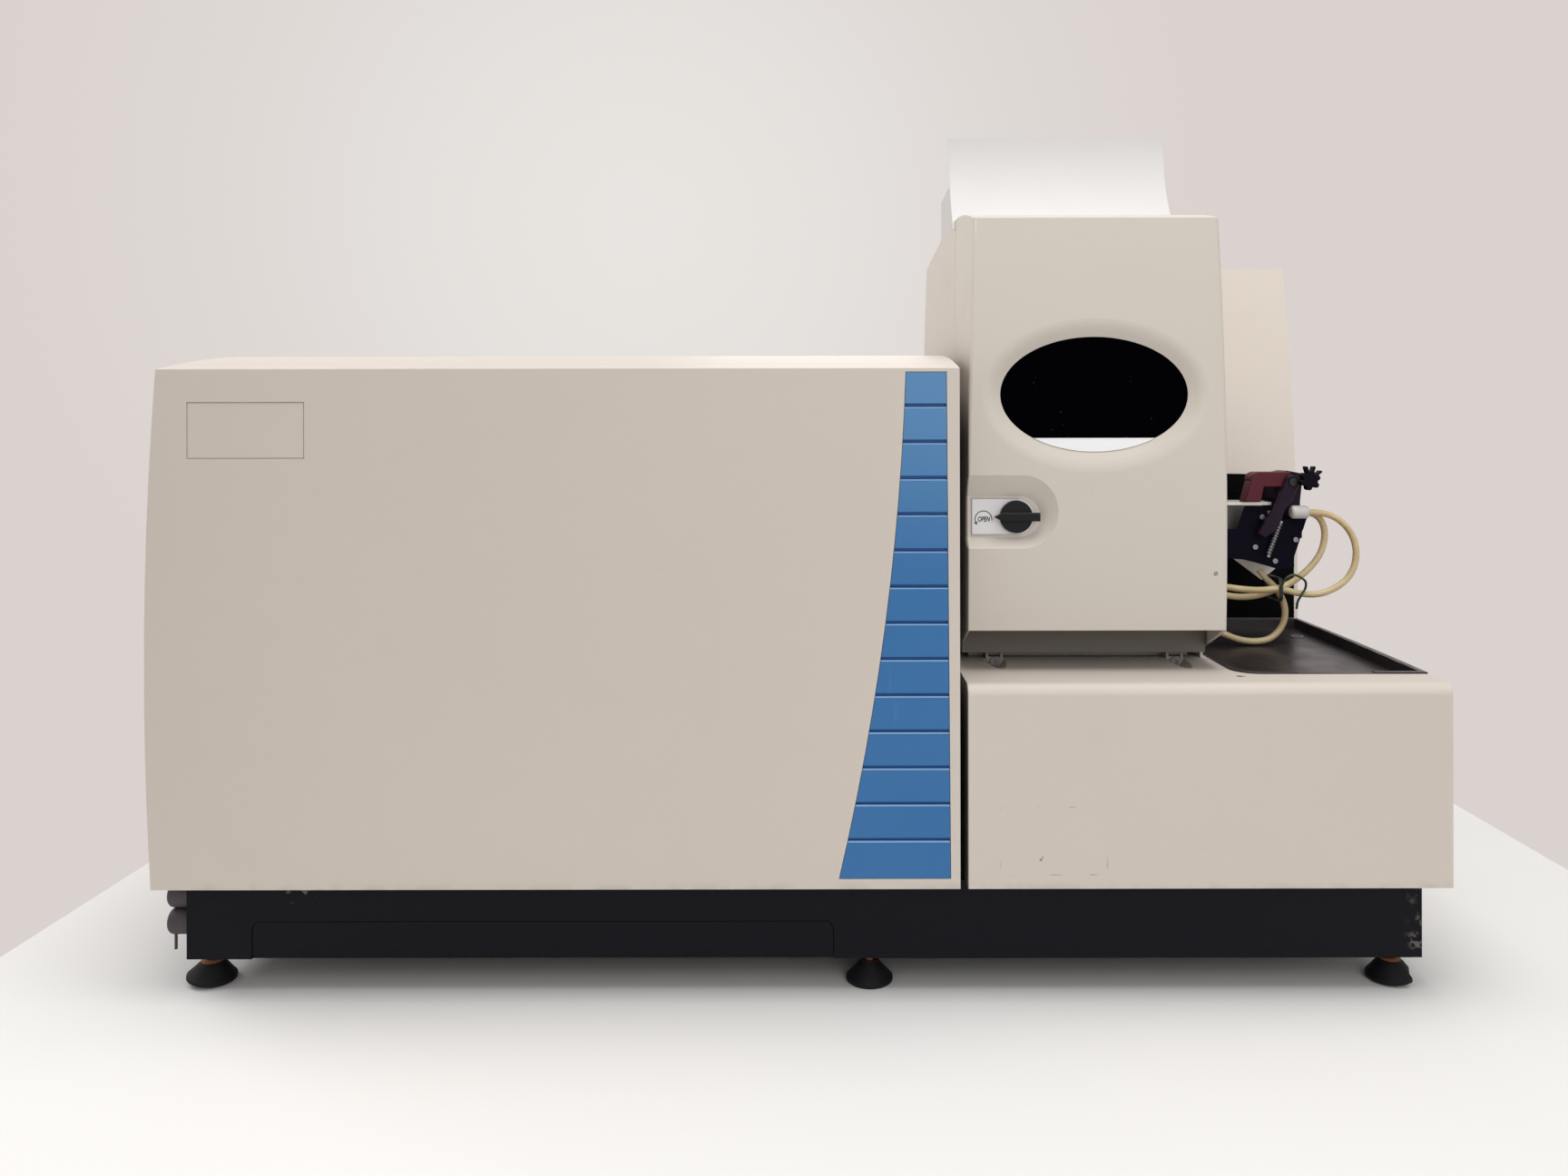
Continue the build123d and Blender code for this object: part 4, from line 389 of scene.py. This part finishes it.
def dark_glass(name, colour, dust):
    """Nearly black viewing glass with a few specks of dust, more of them near its foot."""
    finish = Finish(name, specular_ior_level=0.0)
    foot = (610.0, 660.0)
    low = 1 - finish.axis("Z").steps(*foot)
    speck = finish.noise(430.0, 1.0).steps(0.8, 0.83) * (0.15 + low * 0.6)
    return finish.paint(speck * 0.5, colour, dust).surface(roughness=0.08 + speck * 0.5)


def clear_quartz(name, colour):
    """Clear quartz with slight milky heat marks."""
    finish = Finish(name, ior=1.46, transmission_weight=0.92)
    milk = finish.noise(40.0, 4.0).steps(0.5, 0.8)
    return finish.paint(milk * 0.2, colour, (0.95, 0.95, 0.93)).surface(roughness=0.04 + milk * 0.2)


def soft_tubing(name, colour, aged):
    """Soft pump tubing, yellowed unevenly along its length."""
    finish = Finish(name, subsurface_weight=0.15, coat_weight=0.3, coat_roughness=0.25)
    age = finish.noise(26.0, 4.0).steps(0.35, 0.7)
    finish.paint(age * 0.6, colour, aged).surface(roughness=0.34 + age * 0.15)
    return finish.bump(finish.noise(500.0, 2.0), 0.01, 0.4)


def twisted_wire(name, coating, bare):
    """Green coated wire with dark worn stretches."""
    finish = Finish(name)
    worn = finish.noise(70.0, 3.0).steps(0.44, 0.52)
    finish.paint(worn, coating, bare).surface(roughness=0.4 + worn * 0.2)
    return finish.bump(finish.noise(600.0, 2.0), 0.1, 0.5)


def bench_paint(name, colour):
    """Matt pale bench top with the faintest clouding."""
    finish = Finish(name, roughness=0.8, specular_ior_level=0.2)
    cloud = finish.noise(0.8, 2.0).steps(0.2, 0.8)
    return finish.paint(cloud, shade(colour, 0.985), colour)


# ------------------------------------------------------------------ settings


def colour_setting(name, description, default):
    return bpy.props.FloatVectorProperty(
        name=name, description=description, default=default, subtype="COLOR", size=3, min=0.0, max=1.0
    )


def length_setting(name, description, default, least=0.0):
    return bpy.props.FloatProperty(
        name=name, description=description, default=default, unit="LENGTH", min=least
    )


class CabinetSettings(bpy.types.PropertyGroup):
    """Colours of the sheet metal, mouldings and plinth."""

    beige: colour_setting("Cabinet beige", "Sprayed paint of the covers", (0.585, 0.527, 0.470))
    door_beige: colour_setting("Door beige", "Paint of the moulded torch-box door", (0.590, 0.540, 0.480))
    grime: colour_setting("Grime", "Dirt in the paint's texture and along low edges", (0.23, 0.19, 0.15))
    black: colour_setting("Plinth black", "Powder coat of the plinth", (0.0045, 0.0042, 0.0075))
    bare: colour_setting("Bare metal", "Metal under chipped paint", (0.12, 0.11, 0.11))
    strip_top: colour_setting("Strip blue, top", "Top of the blue strip", (0.085, 0.225, 0.440))
    strip_foot: colour_setting("Strip blue, foot", "Foot of the blue strip", (0.029, 0.142, 0.352))
    white: colour_setting("White sheet", "White paint of the flue parts", (0.635, 0.62, 0.61))
    grain: bpy.props.FloatProperty(
        name="Paint grain", description="Bumps of the paint's texture per metre", default=950.0, min=1.0
    )


class PumpSettings(bpy.types.PropertyGroup):
    """Colours of the pump and its tubing, and the tubing's diameter."""

    maroon: colour_setting("Bar maroon", "Anodised pressure bar", (0.085, 0.015, 0.022))
    purple: colour_setting("Bracket purple", "Anodised bracket and lever", (0.017, 0.008, 0.019))
    navy: colour_setting("Plate blue-black", "Anodised pump plates", (0.0035, 0.0030, 0.010))
    tubing: colour_setting("Tubing", "Fresh colour of the pump tubing", (0.600, 0.480, 0.275))
    aged: colour_setting("Aged tubing", "Yellowed colour of the pump tubing", (0.440, 0.310, 0.135))
    hose_diameter: length_setting("Hose diameter", "Outer diameter of the pump tubing", 0.0085)


class LabelSettings(bpy.types.PropertyGroup):
    """Sizes of the marks on the latch plate."""

    letter: length_setting("Letter height", "Height of the word on the latch plate", 0.0078)
    ring: length_setting("Arrow radius", "Radius of the turning arrow", 0.0095)
    stroke: length_setting("Stroke", "Width of the arrow's line", 0.0011)


class StageSettings(bpy.types.PropertyGroup):
    """Bench, wall, room light and camera."""

    bench: colour_setting("Bench", "Colour of the bench top", (0.80, 0.79, 0.775))
    wall: colour_setting("Wall", "Colour of the wall around", (0.70, 0.645, 0.625))
    wall_bright: colour_setting("Lit wall", "Colour of the wall's lit middle", (0.807, 0.783, 0.755))
    room: colour_setting("Room light", "Colour of the even room light", (1.0, 0.985, 0.975))
    left: length_setting("Bench left", "Left edge of the bench", -0.945, least=-5.0)
    right: length_setting("Bench right", "Right edge of the bench", 1.06)
    back: length_setting("Bench back", "Distance of the bench's back edge behind the origin", 0.45)
    front: length_setting("Bench front", "Distance of the bench's front edge before the origin", 1.4)
    thickness: length_setting("Bench thickness", "Thickness of the bench top", 0.03)
    sky: bpy.props.FloatProperty(name="Room strength", description="Strength of the room light", default=0.55)
    lens: bpy.props.FloatProperty(name="Lens", description="Focal length in millimetres", default=27.08)
    roll: bpy.props.FloatProperty(
        name="Roll", description="Camera roll", default=radians(-0.1), unit="ROTATION"
    )
    shift: bpy.props.FloatVectorProperty(
        name="Shift", description="Lens shift that keeps uprights upright", default=(-0.0226, -0.0972), size=2
    )
    eye: bpy.props.FloatVectorProperty(
        name="Eye", description="Place of the camera", default=(0.015, -1.586, 0.609), unit="LENGTH", size=3
    )


# ------------------------------------------------------------------ operators


def dress(finish, *nodes):
    """Gives CAD nodes one finish."""
    for node in nodes:
        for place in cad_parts[node].material_slots:
            place.material = finish.material


def show(name, data):
    """Adds an object with this mesh, curve, lamp or camera to the scene."""
    shown = bpy.data.objects.new(name, data)
    bpy.context.scene.collection.objects.link(shown)
    return shown


def add_piece(name, data, finish, body):
    """Adds a mesh or a curve as a piece of the part, on one of its bodies."""
    piece = show(name, data)
    data.materials.append(finish.material)
    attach(piece, body)
    return piece


def smooth_line(name, points, diameter):
    """A round tube along a smooth spline, with points as its control points in millimetres."""
    curve = bpy.data.curves.new(name, "CURVE")
    curve.dimensions = "3D"
    curve.bevel_depth = diameter / 2
    curve.bevel_resolution = 5
    curve.use_fill_caps = True
    curve.resolution_u = 10
    spline = curve.splines.new("NURBS")
    spline.points.add(len(points) - 1)
    for point, place in zip(spline.points, points):
        point.co = (*(Vector(place) * MM), 1.0)
    spline.order_u = 3
    spline.use_endpoint_u = True
    return curve


class SPECTROMETER_OT_cabinet(bpy.types.Operator):
    """Paint the covers, the blue strip, the flue and the torch-box door"""

    bl_idname = "spectrometer.cabinet"
    bl_label = "Paint Cabinet"

    def execute(self, context):
        colours = context.scene.spectrometer_cabinet
        beige, grime, grain = colours.beige, colours.grime, colours.grain
        covers = cabinet_paint("cabinet_beige", beige, grime, grain)
        dress(covers, "left_front_panel", "left_top_cover", "left_side_covers", "left_rear_cover")
        dress(covers, "torch_box_cover")
        # Tower paint made paler than the cabinet beige, partly for its own paler paint and partly as painted
        # light on its front
        dress(cabinet_paint("tower_beige_and_painted_light", shade(beige, 1.32), grime, grain), "tower_cover")
        dress(base_paint("base_beige", beige, grime, grain), "right_base_cover")
        dress(door_paint("door_beige", colours.door_beige, grime, grain * 0.9), "torch_door")
        dress(graded_blue("strip_blue", colours.strip_top, colours.strip_foot), "accent_strip")
        white = plain_coat("white_sheet", colours.white, 0.6, mark=0.0, specular_ior_level=0.25)
        dress(white, "exhaust_duct", "chimney_deflector")
        # Painted shade: cabinet beige darkened for the hinge parts in the shadow under the door
        dress(plain_coat("hinge_beige_painted_shade", shade(beige, 0.5), 0.5), "door_hinge_arms", "hinge_brackets")
        # Painted shade: cabinet beige darkened for the liner inside the recess
        dress(plain_coat("liner_metal", shade(beige, 0.62), 0.5, mark=0.1), "torch_box_liner")
        return {"FINISHED"}


class SPECTROMETER_OT_plinth(bpy.types.Operator):
    """Finish the plinth, its caps and the levelling feet"""

    bl_idname = "spectrometer.plinth"
    bl_label = "Finish Plinth"

    # Height in millimetres where the rubber ends and the copper nut begins
    nut_foot = (23.2, 23.8)
    nut_copper = (0.20, 0.085, 0.035)

    def execute(self, context):
        colours = context.scene.spectrometer_cabinet
        dress(chipped_black("plinth_black", colours.black, colours.bare), "plinth", "plinth_access_panel")
        rubber = plain_coat(
            "foot_rubber", (0.006, 0.006, 0.008), 0.6, grain=500.0, depth=0.2, specular_ior_level=0.2
        )
        dress(rubber.tint(rubber.axis("Z").steps(*self.nut_foot), self.nut_copper), "foot_pads")
        dress(brushed_metal("foot_copper", (0.36, 0.17, 0.08), 0.4, (1.0, 1.0, 12.0)), "foot_studs")
        dress(plain_coat("cap_grey", (0.045, 0.036, 0.042), 0.55), "side_caps")
        return {"FINISHED"}


class SPECTROMETER_OT_window(bpy.types.Operator):
    """Finish the window and its white sill"""

    bl_idname = "spectrometer.window"
    bl_label = "Finish Window"

    def execute(self, context):
        dress(dark_glass("window_glass", (0.0009, 0.0007, 0.0014), (0.5, 0.48, 0.45)), "window_glass")
        dress(plain_coat("sill_white", (0.86, 0.86, 0.87), 0.5, mark=0.0), "window_sill")
        return {"FINISHED"}


class SPECTROMETER_OT_latch(bpy.types.Operator):
    """Finish the latch and draw the word and the turning arrow on its plate"""

    bl_idname = "spectrometer.latch"
    bl_label = "Finish Latch"

    # Middle of the marks, width of the word, and how far the ink lies before the plate, in millimetres
    centre = (200.4, 513.9)
    word_width = 14.3
    ink_gap = 0.05

    def execute(self, context):
        sizes = context.scene.spectrometer_label
        low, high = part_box("latch_plate")
        plate = plain_coat("label_white", (0.70, 0.69, 0.70), 0.35, mark=0.0)
        rim = rectangle_distance(plate, low.x / MM, high.x / MM, low.z / MM, high.z / MM)
        dress(plate.tint(rim.steps(-1.0, -0.5) * 0.6, (0.09, 0.08, 0.08)), "latch_plate")
        knob = plain_coat(
            "knob_black", (0.003, 0.003, 0.004), 0.34, depth=0.05, mark=0.05, specular_ior_level=0.22
        )
        dress(knob, "latch_knob")
        steel = brushed_metal("latch_steel", (0.55, 0.55, 0.56), 0.28, (1.0, 12.0, 1.0))
        dress(steel, "latch_bar", "latch_keeper")
        ink = plain_coat("label_ink", (0.015, 0.015, 0.02), 0.5, mark=0.02)
        face = low.y - self.ink_gap * MM
        add_piece("open_word", self.word(sizes.letter, face), ink, "door")
        add_piece("turning_arrow", self.arrow(sizes.ring, sizes.stroke, face), ink, "door")
        return {"FINISHED"}

    def word(self, height, face):
        """Slanted word, made a little bolder and squeezed to its width."""
        text = bpy.data.curves.new("open_word_text", "FONT")
        text.body = "OPEN"
        text.size = height
        text.shear = 0.25
        text.offset = 0.28 * MM
        text.align_x = "CENTER"
        text.align_y = "CENTER"
        holder = bpy.data.objects.new("open_word_text", text)
        mesh = bpy.data.meshes.new_from_object(holder)
        bpy.data.objects.remove(holder)
        x, z = (size * MM for size in self.centre)
        across = [vertex.co.x for vertex in mesh.vertices]
        narrow = self.word_width * MM / (max(across) - min(across))
        squeeze = Matrix.Diagonal((narrow, 1.0, 1.0, 1.0))
        mesh.transform(Matrix.Translation((x, face, z)) @ Matrix.Rotation(pi / 2, 4, "X") @ squeeze)
        mesh.materials.clear()
        return mesh

    def arrow(self, radius, stroke, face):
        """Anticlockwise arrow over the word: an open ring and its head at the lower left."""
        x, z = (size * MM for size in self.centre)
        start, neck, tip, steps = radians(-8), radians(199), radians(221), 48
        barb = 1.9 * stroke

        def at(reach, angle):
            return x + reach * cos(angle), face, z + reach * sin(angle)

        verts = []
        for step in range(steps + 1):
            angle = start + (neck - start) * step / steps
            verts += (at(radius - stroke / 2, angle), at(radius + stroke / 2, angle))
        faces = [(2 * step, 2 * step + 1, 2 * step + 3, 2 * step + 2) for step in range(steps)]
        first = len(verts)
        verts += (at(radius, tip), at(radius - barb, neck), at(radius + barb, neck))
        faces.append((first, first + 2, first + 1))
        mesh = bpy.data.meshes.new("turning_arrow")
        mesh.from_pydata(verts, [], faces)
        mesh.update()
        return mesh


class SPECTROMETER_OT_tray(bpy.types.Operator):
    """Finish the spill tray and its drain"""

    bl_idname = "spectrometer.tray"
    bl_label = "Finish Tray"

    def execute(self, context):
        tray = plain_coat("tray_black", (0.020, 0.016, 0.018), 0.3, grain=420.0, depth=0.02, mark=0.06)
        dress(tray, "spill_tray")
        dress(plain_coat("drain_grey", (0.16, 0.16, 0.17), 0.4), "tray_drain")
        return {"FINISHED"}


class SPECTROMETER_OT_pump(bpy.types.Operator):
    """Finish the peristaltic pump"""

    bl_idname = "spectrometer.pump"
    bl_label = "Finish Pump"

    # Height in millimetres above which the screws are black
    black_screws = (520.0, 522.0)

    def execute(self, context):
        colours = context.scene.spectrometer_pump
        black = (0.003, 0.002, 0.006)
        bay = plain_coat("bay_black", (0.001, 0.001, 0.0015), 0.55, mark=0.02, specular_ior_level=0.05)
        dress(bay, "sample_bay_panel")
        navy = plain_coat("plate_navy", colours.navy, 0.5, mark=0.03, specular_ior_level=0.05)
        dress(navy, "pump_front_plate", "pump_drive")
        dress(brushed_metal("plate_pale", (0.60, 0.60, 0.58), 0.34, (12.0, 1.0, 1.0)), "pump_back_plate")
        maroon = plain_coat("bar_maroon", colours.maroon, 0.4, 0.3, specular_ior_level=0.2)
        dress(maroon, "pump_pressure_bar")
        purple = plain_coat("lever_purple", colours.purple, 0.4, 0.3, specular_ior_level=0.15)
        dress(purple, "pump_lever", "pump_bracket")
        star = plain_coat("star_black", black, 0.45, mark=0.02, specular_ior_level=0.08)
        dress(star, "pump_tension_knob")
        steel = brushed_metal("pump_steel", (0.24, 0.24, 0.26), 0.3, (1.0, 12.0, 1.0))
        dress(steel, "pump_rotor", "pump_spring", "hinge_pins")
        heads = brushed_metal("pump_screws", (0.30, 0.31, 0.34), 0.28, (1.0, 12.0, 1.0))
        above = heads.axis("Z").steps(*self.black_screws)
        dress(heads.tint(above, (0.004, 0.003, 0.006)).surface(metallic=1 - above), "pump_screws")
        dress(plain_coat("collar_white", (0.58, 0.56, 0.54), 0.4, mark=0.03), "tube_collar", "hose_ports")
        return {"FINISHED"}


class SPECTROMETER_OT_tubing(bpy.types.Operator):
    """Lay the pump tubing and finish the twist tie"""

    bl_idname = "spectrometer.tubing"
    bl_label = "Lay Tubing"

    def execute(self, context):
        sizes = context.scene.spectrometer_pump
        tubing = soft_tubing("hose_yellow", sizes.tubing, sizes.aged)
        for name, (length, points) in ROUTES.items():
            line = smooth_line(name + "_tube", points, sizes.hose_diameter)
            hose = add_piece(name + "_tube", line, tubing, "instrument")
            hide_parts(name)
        dress(twisted_wire("tie_green", (0.02, 0.06, 0.012), (0.006, 0.006, 0.006)), "wire_tie")
        return {"FINISHED"}


class SPECTROMETER_OT_inside(bpy.types.Operator):
    """Finish the parts inside the cabinet"""

    bl_idname = "spectrometer.inside"
    bl_label = "Finish Inside"

    def execute(self, context):
        dress(plain_coat("frame_grey", (0.35, 0.36, 0.37), 0.5), "chassis_frame")
        machined = brushed_metal("chamber_alu", (0.62, 0.63, 0.64), 0.32, (12.0, 1.0, 1.0))
        dress(machined, "vacuum_chamber", "interface_housing")
        dress(plain_coat("turbo_grey", (0.40, 0.41, 0.43), 0.42), "turbo_pumps")
        dress(brushed_metal("cone_nickel", (0.58, 0.55, 0.50), 0.3, (1.0, 6.0, 6.0)), "interface_cones")
        rods = brushed_metal("rod_steel", (0.60, 0.60, 0.61), 0.18, (12.0, 1.0, 1.0))
        dress(rods, "quadrupole_rods", "lens_stack")
        dress(plain_coat("ceramic_white", (0.84, 0.83, 0.79), 0.3, mark=0.04), "rod_holders")
        dress(plain_coat("unit_grey", (0.30, 0.31, 0.33), 0.45), "ion_detector", "rf_generator")
        dress(clear_quartz("quartz_clear", (0.92, 0.94, 0.95)), "plasma_torch", "spray_chamber")
        dress(brushed_metal("coil_copper", (0.62, 0.28, 0.14), 0.3, (1.0, 1.0, 1.0)), "load_coil")
        dress(plain_coat("fan_black", (0.02, 0.02, 0.02), 0.45), "fan_frame", "fan_rotor")
        return {"FINISHED"}


class SPECTROMETER_OT_stage(bpy.types.Operator):
    """Set the bench, the pale room, the lamps and the camera"""

    bl_idname = "spectrometer.stage"
    bl_label = "Set Stage"

    # Place, target and width in metres and power in watts of each lamp
    lamps = {
        "ceiling_light": ((0.3, -0.7, 3.2), (0.1, 0.0, 0.3), 2.0, 58.0),
        "front_light": ((1.0, -3.0, 1.6), (0.1, 0.0, 0.3), 1.8, 23.0),
        "side_light": ((-2.3, 0.3, 1.9), (0.2, 0.1, 0.6), 1.2, 20.0),
        "back_light": ((0.4, 3.2, 1.8), (0.0, 0.3, 0.4), 1.8, 12.0),
    }
    # Direction of the wall's lit middle, and how far from it the wall has its own colour
    bright_wall = (-0.146, 0.973, 0.175)
    bright_reach = 0.5
    # Camera sensor's width in millimetres, and the nearest distance that it sees in metres
    sensor_width = 36.0
    nearest = 0.05

    def execute(self, context):
        settings = context.scene.spectrometer_stage
        self.bench(settings)
        self.room(context.scene, settings)
        for name, (place, target, size, power) in self.lamps.items():
            self.lamp(name, place, target, size, power)
        self.camera(context.scene, settings)
        context.scene.view_settings.view_transform = "Standard"
        return {"FINISHED"}

    def bench(self, settings):
        ends, depths = (settings.left, settings.right), (-settings.front, settings.back)
        corners = [(x, y, z) for z in (-settings.thickness, 0.0) for y in depths for x in ends]
        sides = [(0, 2, 3, 1), (4, 5, 7, 6), (0, 1, 5, 4), (2, 6, 7, 3), (0, 4, 6, 2), (1, 3, 7, 5)]
        mesh = bpy.data.meshes.new("bench_top")
        mesh.from_pydata(corners, [], sides)
        mesh.materials.append(bench_paint("bench_top", settings.bench).material)
        show("bench_top", mesh)

    def room(self, scene, settings):
        """Even room light, behind which the camera and shiny pieces see a pale wall."""
        world = bpy.data.worlds.new("room")
        world.use_nodes = True
        room = Graph(world.node_tree)
        sight = room.node("ShaderNodeLightPath", output="Is Camera Ray")
        for kind in ("Is Glossy Ray", "Is Transmission Ray"):
            sight = sight.highest(room.node("ShaderNodeLightPath", output=kind))
        toward = room.node("ShaderNodeTexCoord", output="Generated")
        aside = room.distance(toward, self.bright_wall).steps(0.0, self.bright_reach)
        wall = room.mix(aside, settings.wall_bright, settings.wall)
        background = world.node_tree.nodes["Background"]
        room.feed(background.inputs["Color"], room.mix(sight, settings.room, wall))
        room.feed(background.inputs["Strength"], (1 - sight) * settings.sky + sight)
        scene.world = world

    def lamp(self, name, place, target, size, power):
        light = bpy.data.lights.new(name, "AREA")
        light.size = size
        light.energy = power
        lamp = show(name, light)
        lamp.location = place
        lamp.rotation_euler = (Vector(target) - Vector(place)).to_track_quat("-Z", "Y").to_euler()

    def camera(self, scene, settings):
        eye = bpy.data.cameras.new("camera")
        eye.lens = settings.lens
        eye.sensor_width = self.sensor_width
        eye.sensor_fit = "HORIZONTAL"
        eye.shift_x, eye.shift_y = settings.shift
        eye.clip_start = self.nearest
        camera = show("camera", eye)
        turned = Matrix.Rotation(pi / 2, 4, "X") @ Matrix.Rotation(settings.roll, 4, "Z")
        camera.matrix_world = Matrix.Translation(settings.eye) @ turned
        scene.camera = camera


SETTINGS = {
    "spectrometer_cabinet": CabinetSettings,
    "spectrometer_pump": PumpSettings,
    "spectrometer_label": LabelSettings,
    "spectrometer_stage": StageSettings,
}
OPERATORS = (
    SPECTROMETER_OT_stage,
    SPECTROMETER_OT_tubing,
    SPECTROMETER_OT_cabinet,
    SPECTROMETER_OT_plinth,
    SPECTROMETER_OT_window,
    SPECTROMETER_OT_latch,
    SPECTROMETER_OT_tray,
    SPECTROMETER_OT_pump,
    SPECTROMETER_OT_inside,
)


class SPECTROMETER_PT_sidebar(bpy.types.Panel):
    """Lists the spectrometer's pieces and their settings"""

    bl_idname = "SPECTROMETER_PT_sidebar"
    bl_label = "Mass Spectrometer"
    bl_space_type = "VIEW_3D"
    bl_region_type = "UI"
    bl_category = "Spectrometer"

    def draw(self, context):
        for operator in OPERATORS:
            self.layout.operator(operator.bl_idname)
        for group, kind in SETTINGS.items():
            box = self.layout.box()
            for setting in kind.__annotations__:
                box.prop(getattr(context.scene, group), setting)


CLASSES = (*SETTINGS.values(), *OPERATORS, SPECTROMETER_PT_sidebar)


def register():
    for kind in CLASSES:
        bpy.utils.register_class(kind)
    for group, kind in SETTINGS.items():
        setattr(bpy.types.Scene, group, bpy.props.PointerProperty(type=kind))


def unregister():
    for group in SETTINGS:
        delattr(bpy.types.Scene, group)
    for kind in reversed(CLASSES):
        bpy.utils.unregister_class(kind)


def main():
    register()
    for operator in OPERATORS:
        group, name = operator.bl_idname.split(".")
        getattr(getattr(bpy.ops, group), name)()


if __name__ == "__main__":
    main()
